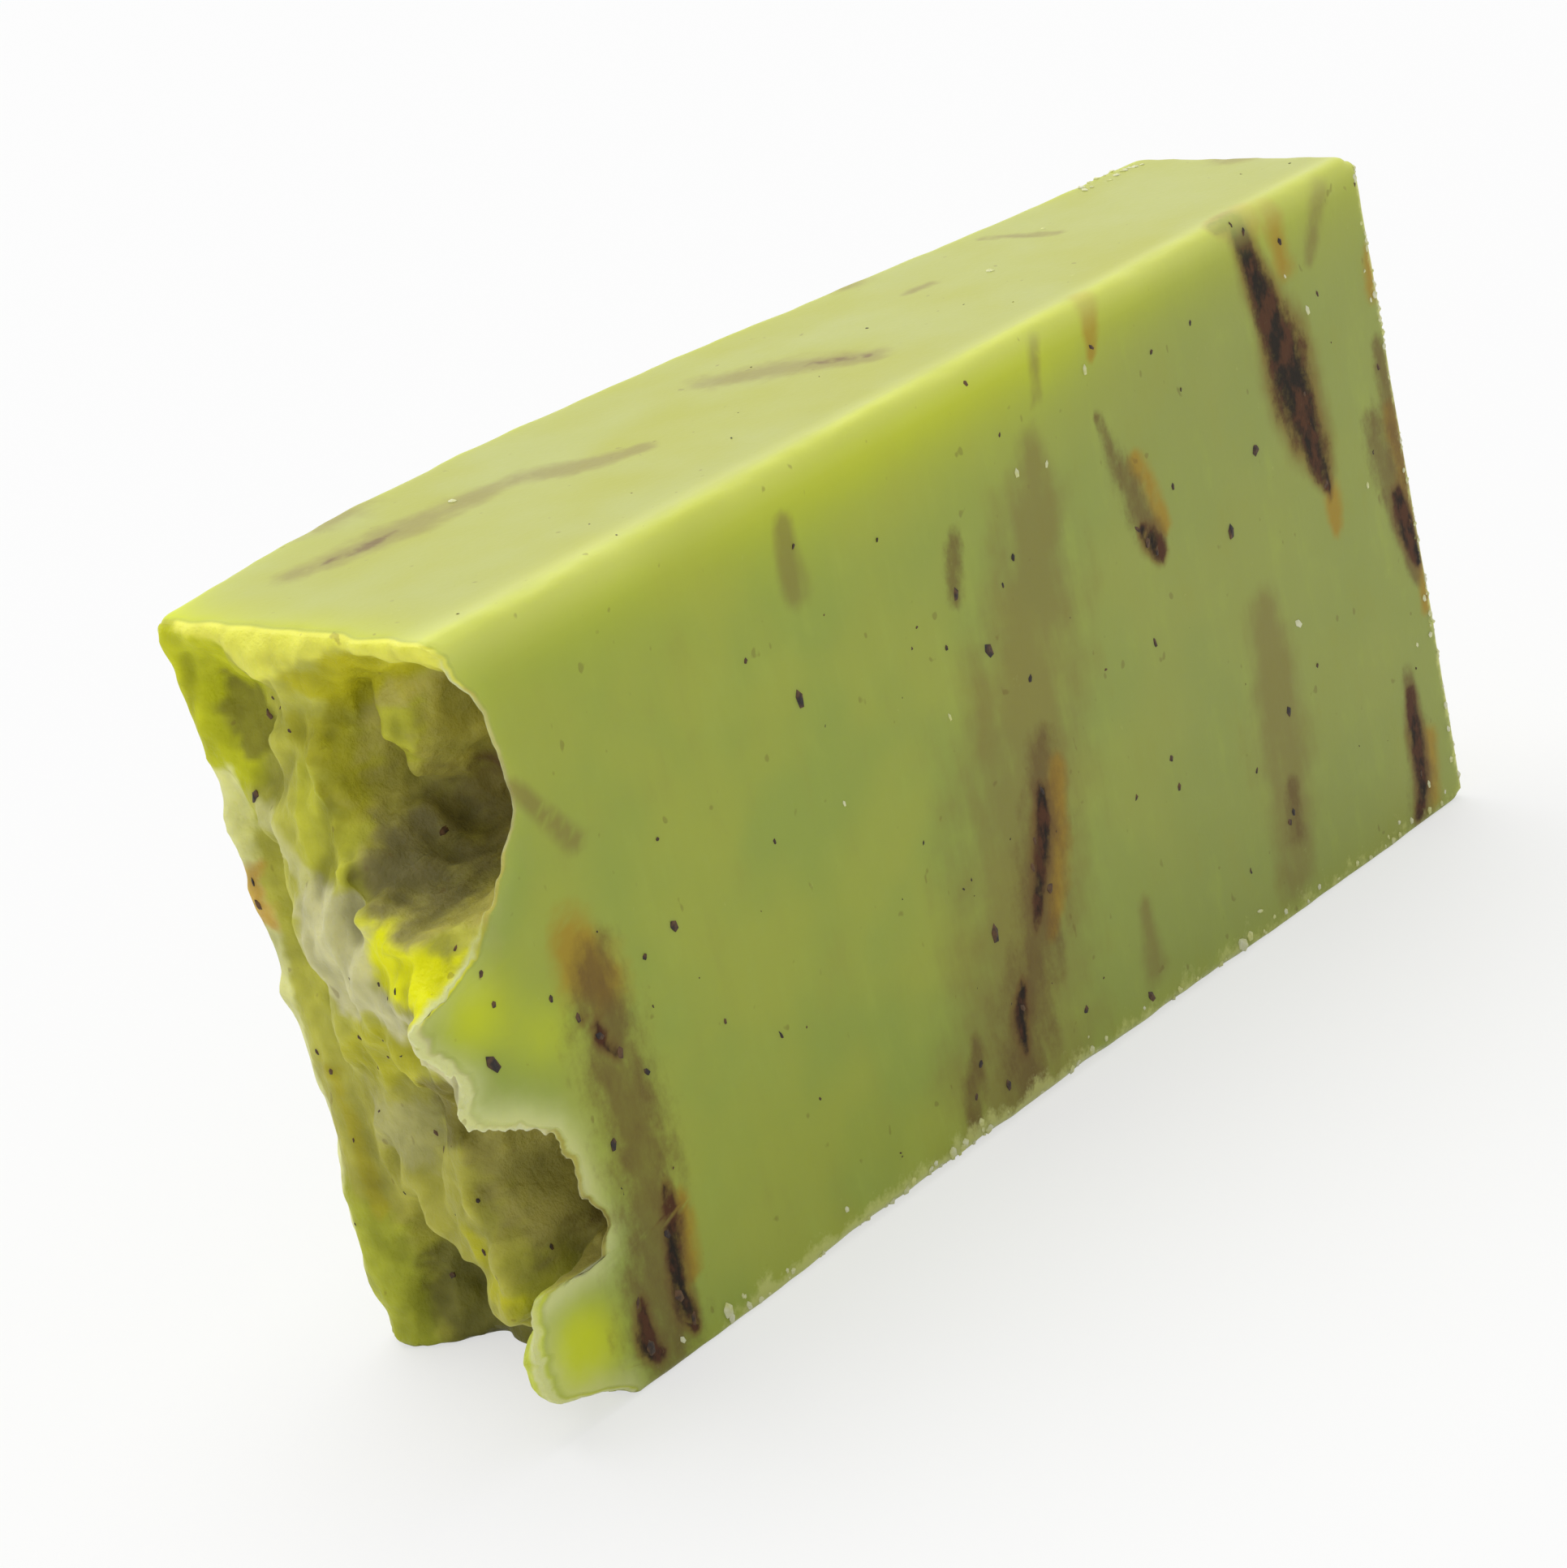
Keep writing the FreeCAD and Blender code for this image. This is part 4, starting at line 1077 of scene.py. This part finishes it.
seen = seen_plainly(wire)
glow = wire.node("ShaderNodeEmission", {}, {"Color": (1, 1, 1, 1), "Strength": 1.0})
lit_paper = Wire(paper.node_tree, paper_shader.outputs[0])
mixed = wire.node("ShaderNodeMixShader", {}, {0: seen * PLAIN_SHARE, 1: lit_paper, 2: glow})
paper.node_tree.links.new(mixed.socket, paper.node_tree.nodes["Material Output"].inputs["Surface"])
floor_mesh.materials.append(paper)
print("floor:", tuple(round(side, 2) for side in floor.dimensions[:2]), "m")

# %% [markdown]
# ## Camera
# A long lens, close by and a little above. It is rolled by 13 degrees, so the bar's upright edges
# lean in the picture. Places in metres.

# %% Camera
eye, aim, roll = Vector((-0.1821, -0.18599, 0.11985)), Vector((-0.01052, 0.0, 0.02449)), -13.31
forward = (aim - eye).normalized()
right = forward.cross(Vector((0, 0, 1))).normalized()
up = right.cross(forward)
turned = Matrix((right, up, -forward)).transposed() @ Matrix.Rotation(np.radians(roll), 3, "Z")
camera_data = bpy.data.cameras.new("camera")
camera_data.sensor_fit, camera_data.sensor_width, camera_data.lens = "HORIZONTAL", 36, 93.73
camera = bpy.data.objects.new("camera", camera_data)
camera.matrix_world = Matrix.Translation(eye) @ turned.to_4x4()
bpy.context.scene.collection.objects.link(camera)
bpy.context.scene.camera = camera
print("camera", round((aim - eye).length, 3), "m from the bar")

# %% [markdown]
# ## Light
# One very wide soft lamp high up behind the bar lights its top, and a plain white surrounding fills
# the two faces that look at the camera.

# %% Light
SKY_LIGHT = 0.45  # what the surrounding gives the soap; seen directly it is 1, plain white
world = bpy.data.worlds.new("studio")
world.use_nodes = True
world.node_tree.nodes["Background"].inputs["Color"].default_value = (1, 1, 1, 1)
sky = Wire(world.node_tree)
sky_strength = seen_plainly(sky) * (1 - SKY_LIGHT) + SKY_LIGHT
world.node_tree.links.new(sky_strength.socket, world.node_tree.nodes["Background"].inputs["Strength"])
bpy.context.scene.world = world
lamp_data = bpy.data.lights.new("overhead_softbox", "SUN")
lamp_data.energy, lamp_data.angle = 1.95, np.radians(55)
lamp = bpy.data.objects.new("overhead_softbox", lamp_data)
lamp.location = (0.10, 0.2, 0.6)  # metres; only its direction counts
lamp.rotation_euler = lamp.location.to_track_quat("Z", "Y").to_euler()
bpy.context.scene.collection.objects.link(lamp)
bpy.context.scene.view_settings.view_transform = "Standard"
print("lamp of strength", round(lamp_data.energy, 2), "and", round(float(np.degrees(lamp_data.angle))),
      "degrees wide")

# %% [markdown]
# ## Size
# The dressed bar has to stay the size of the solid one.
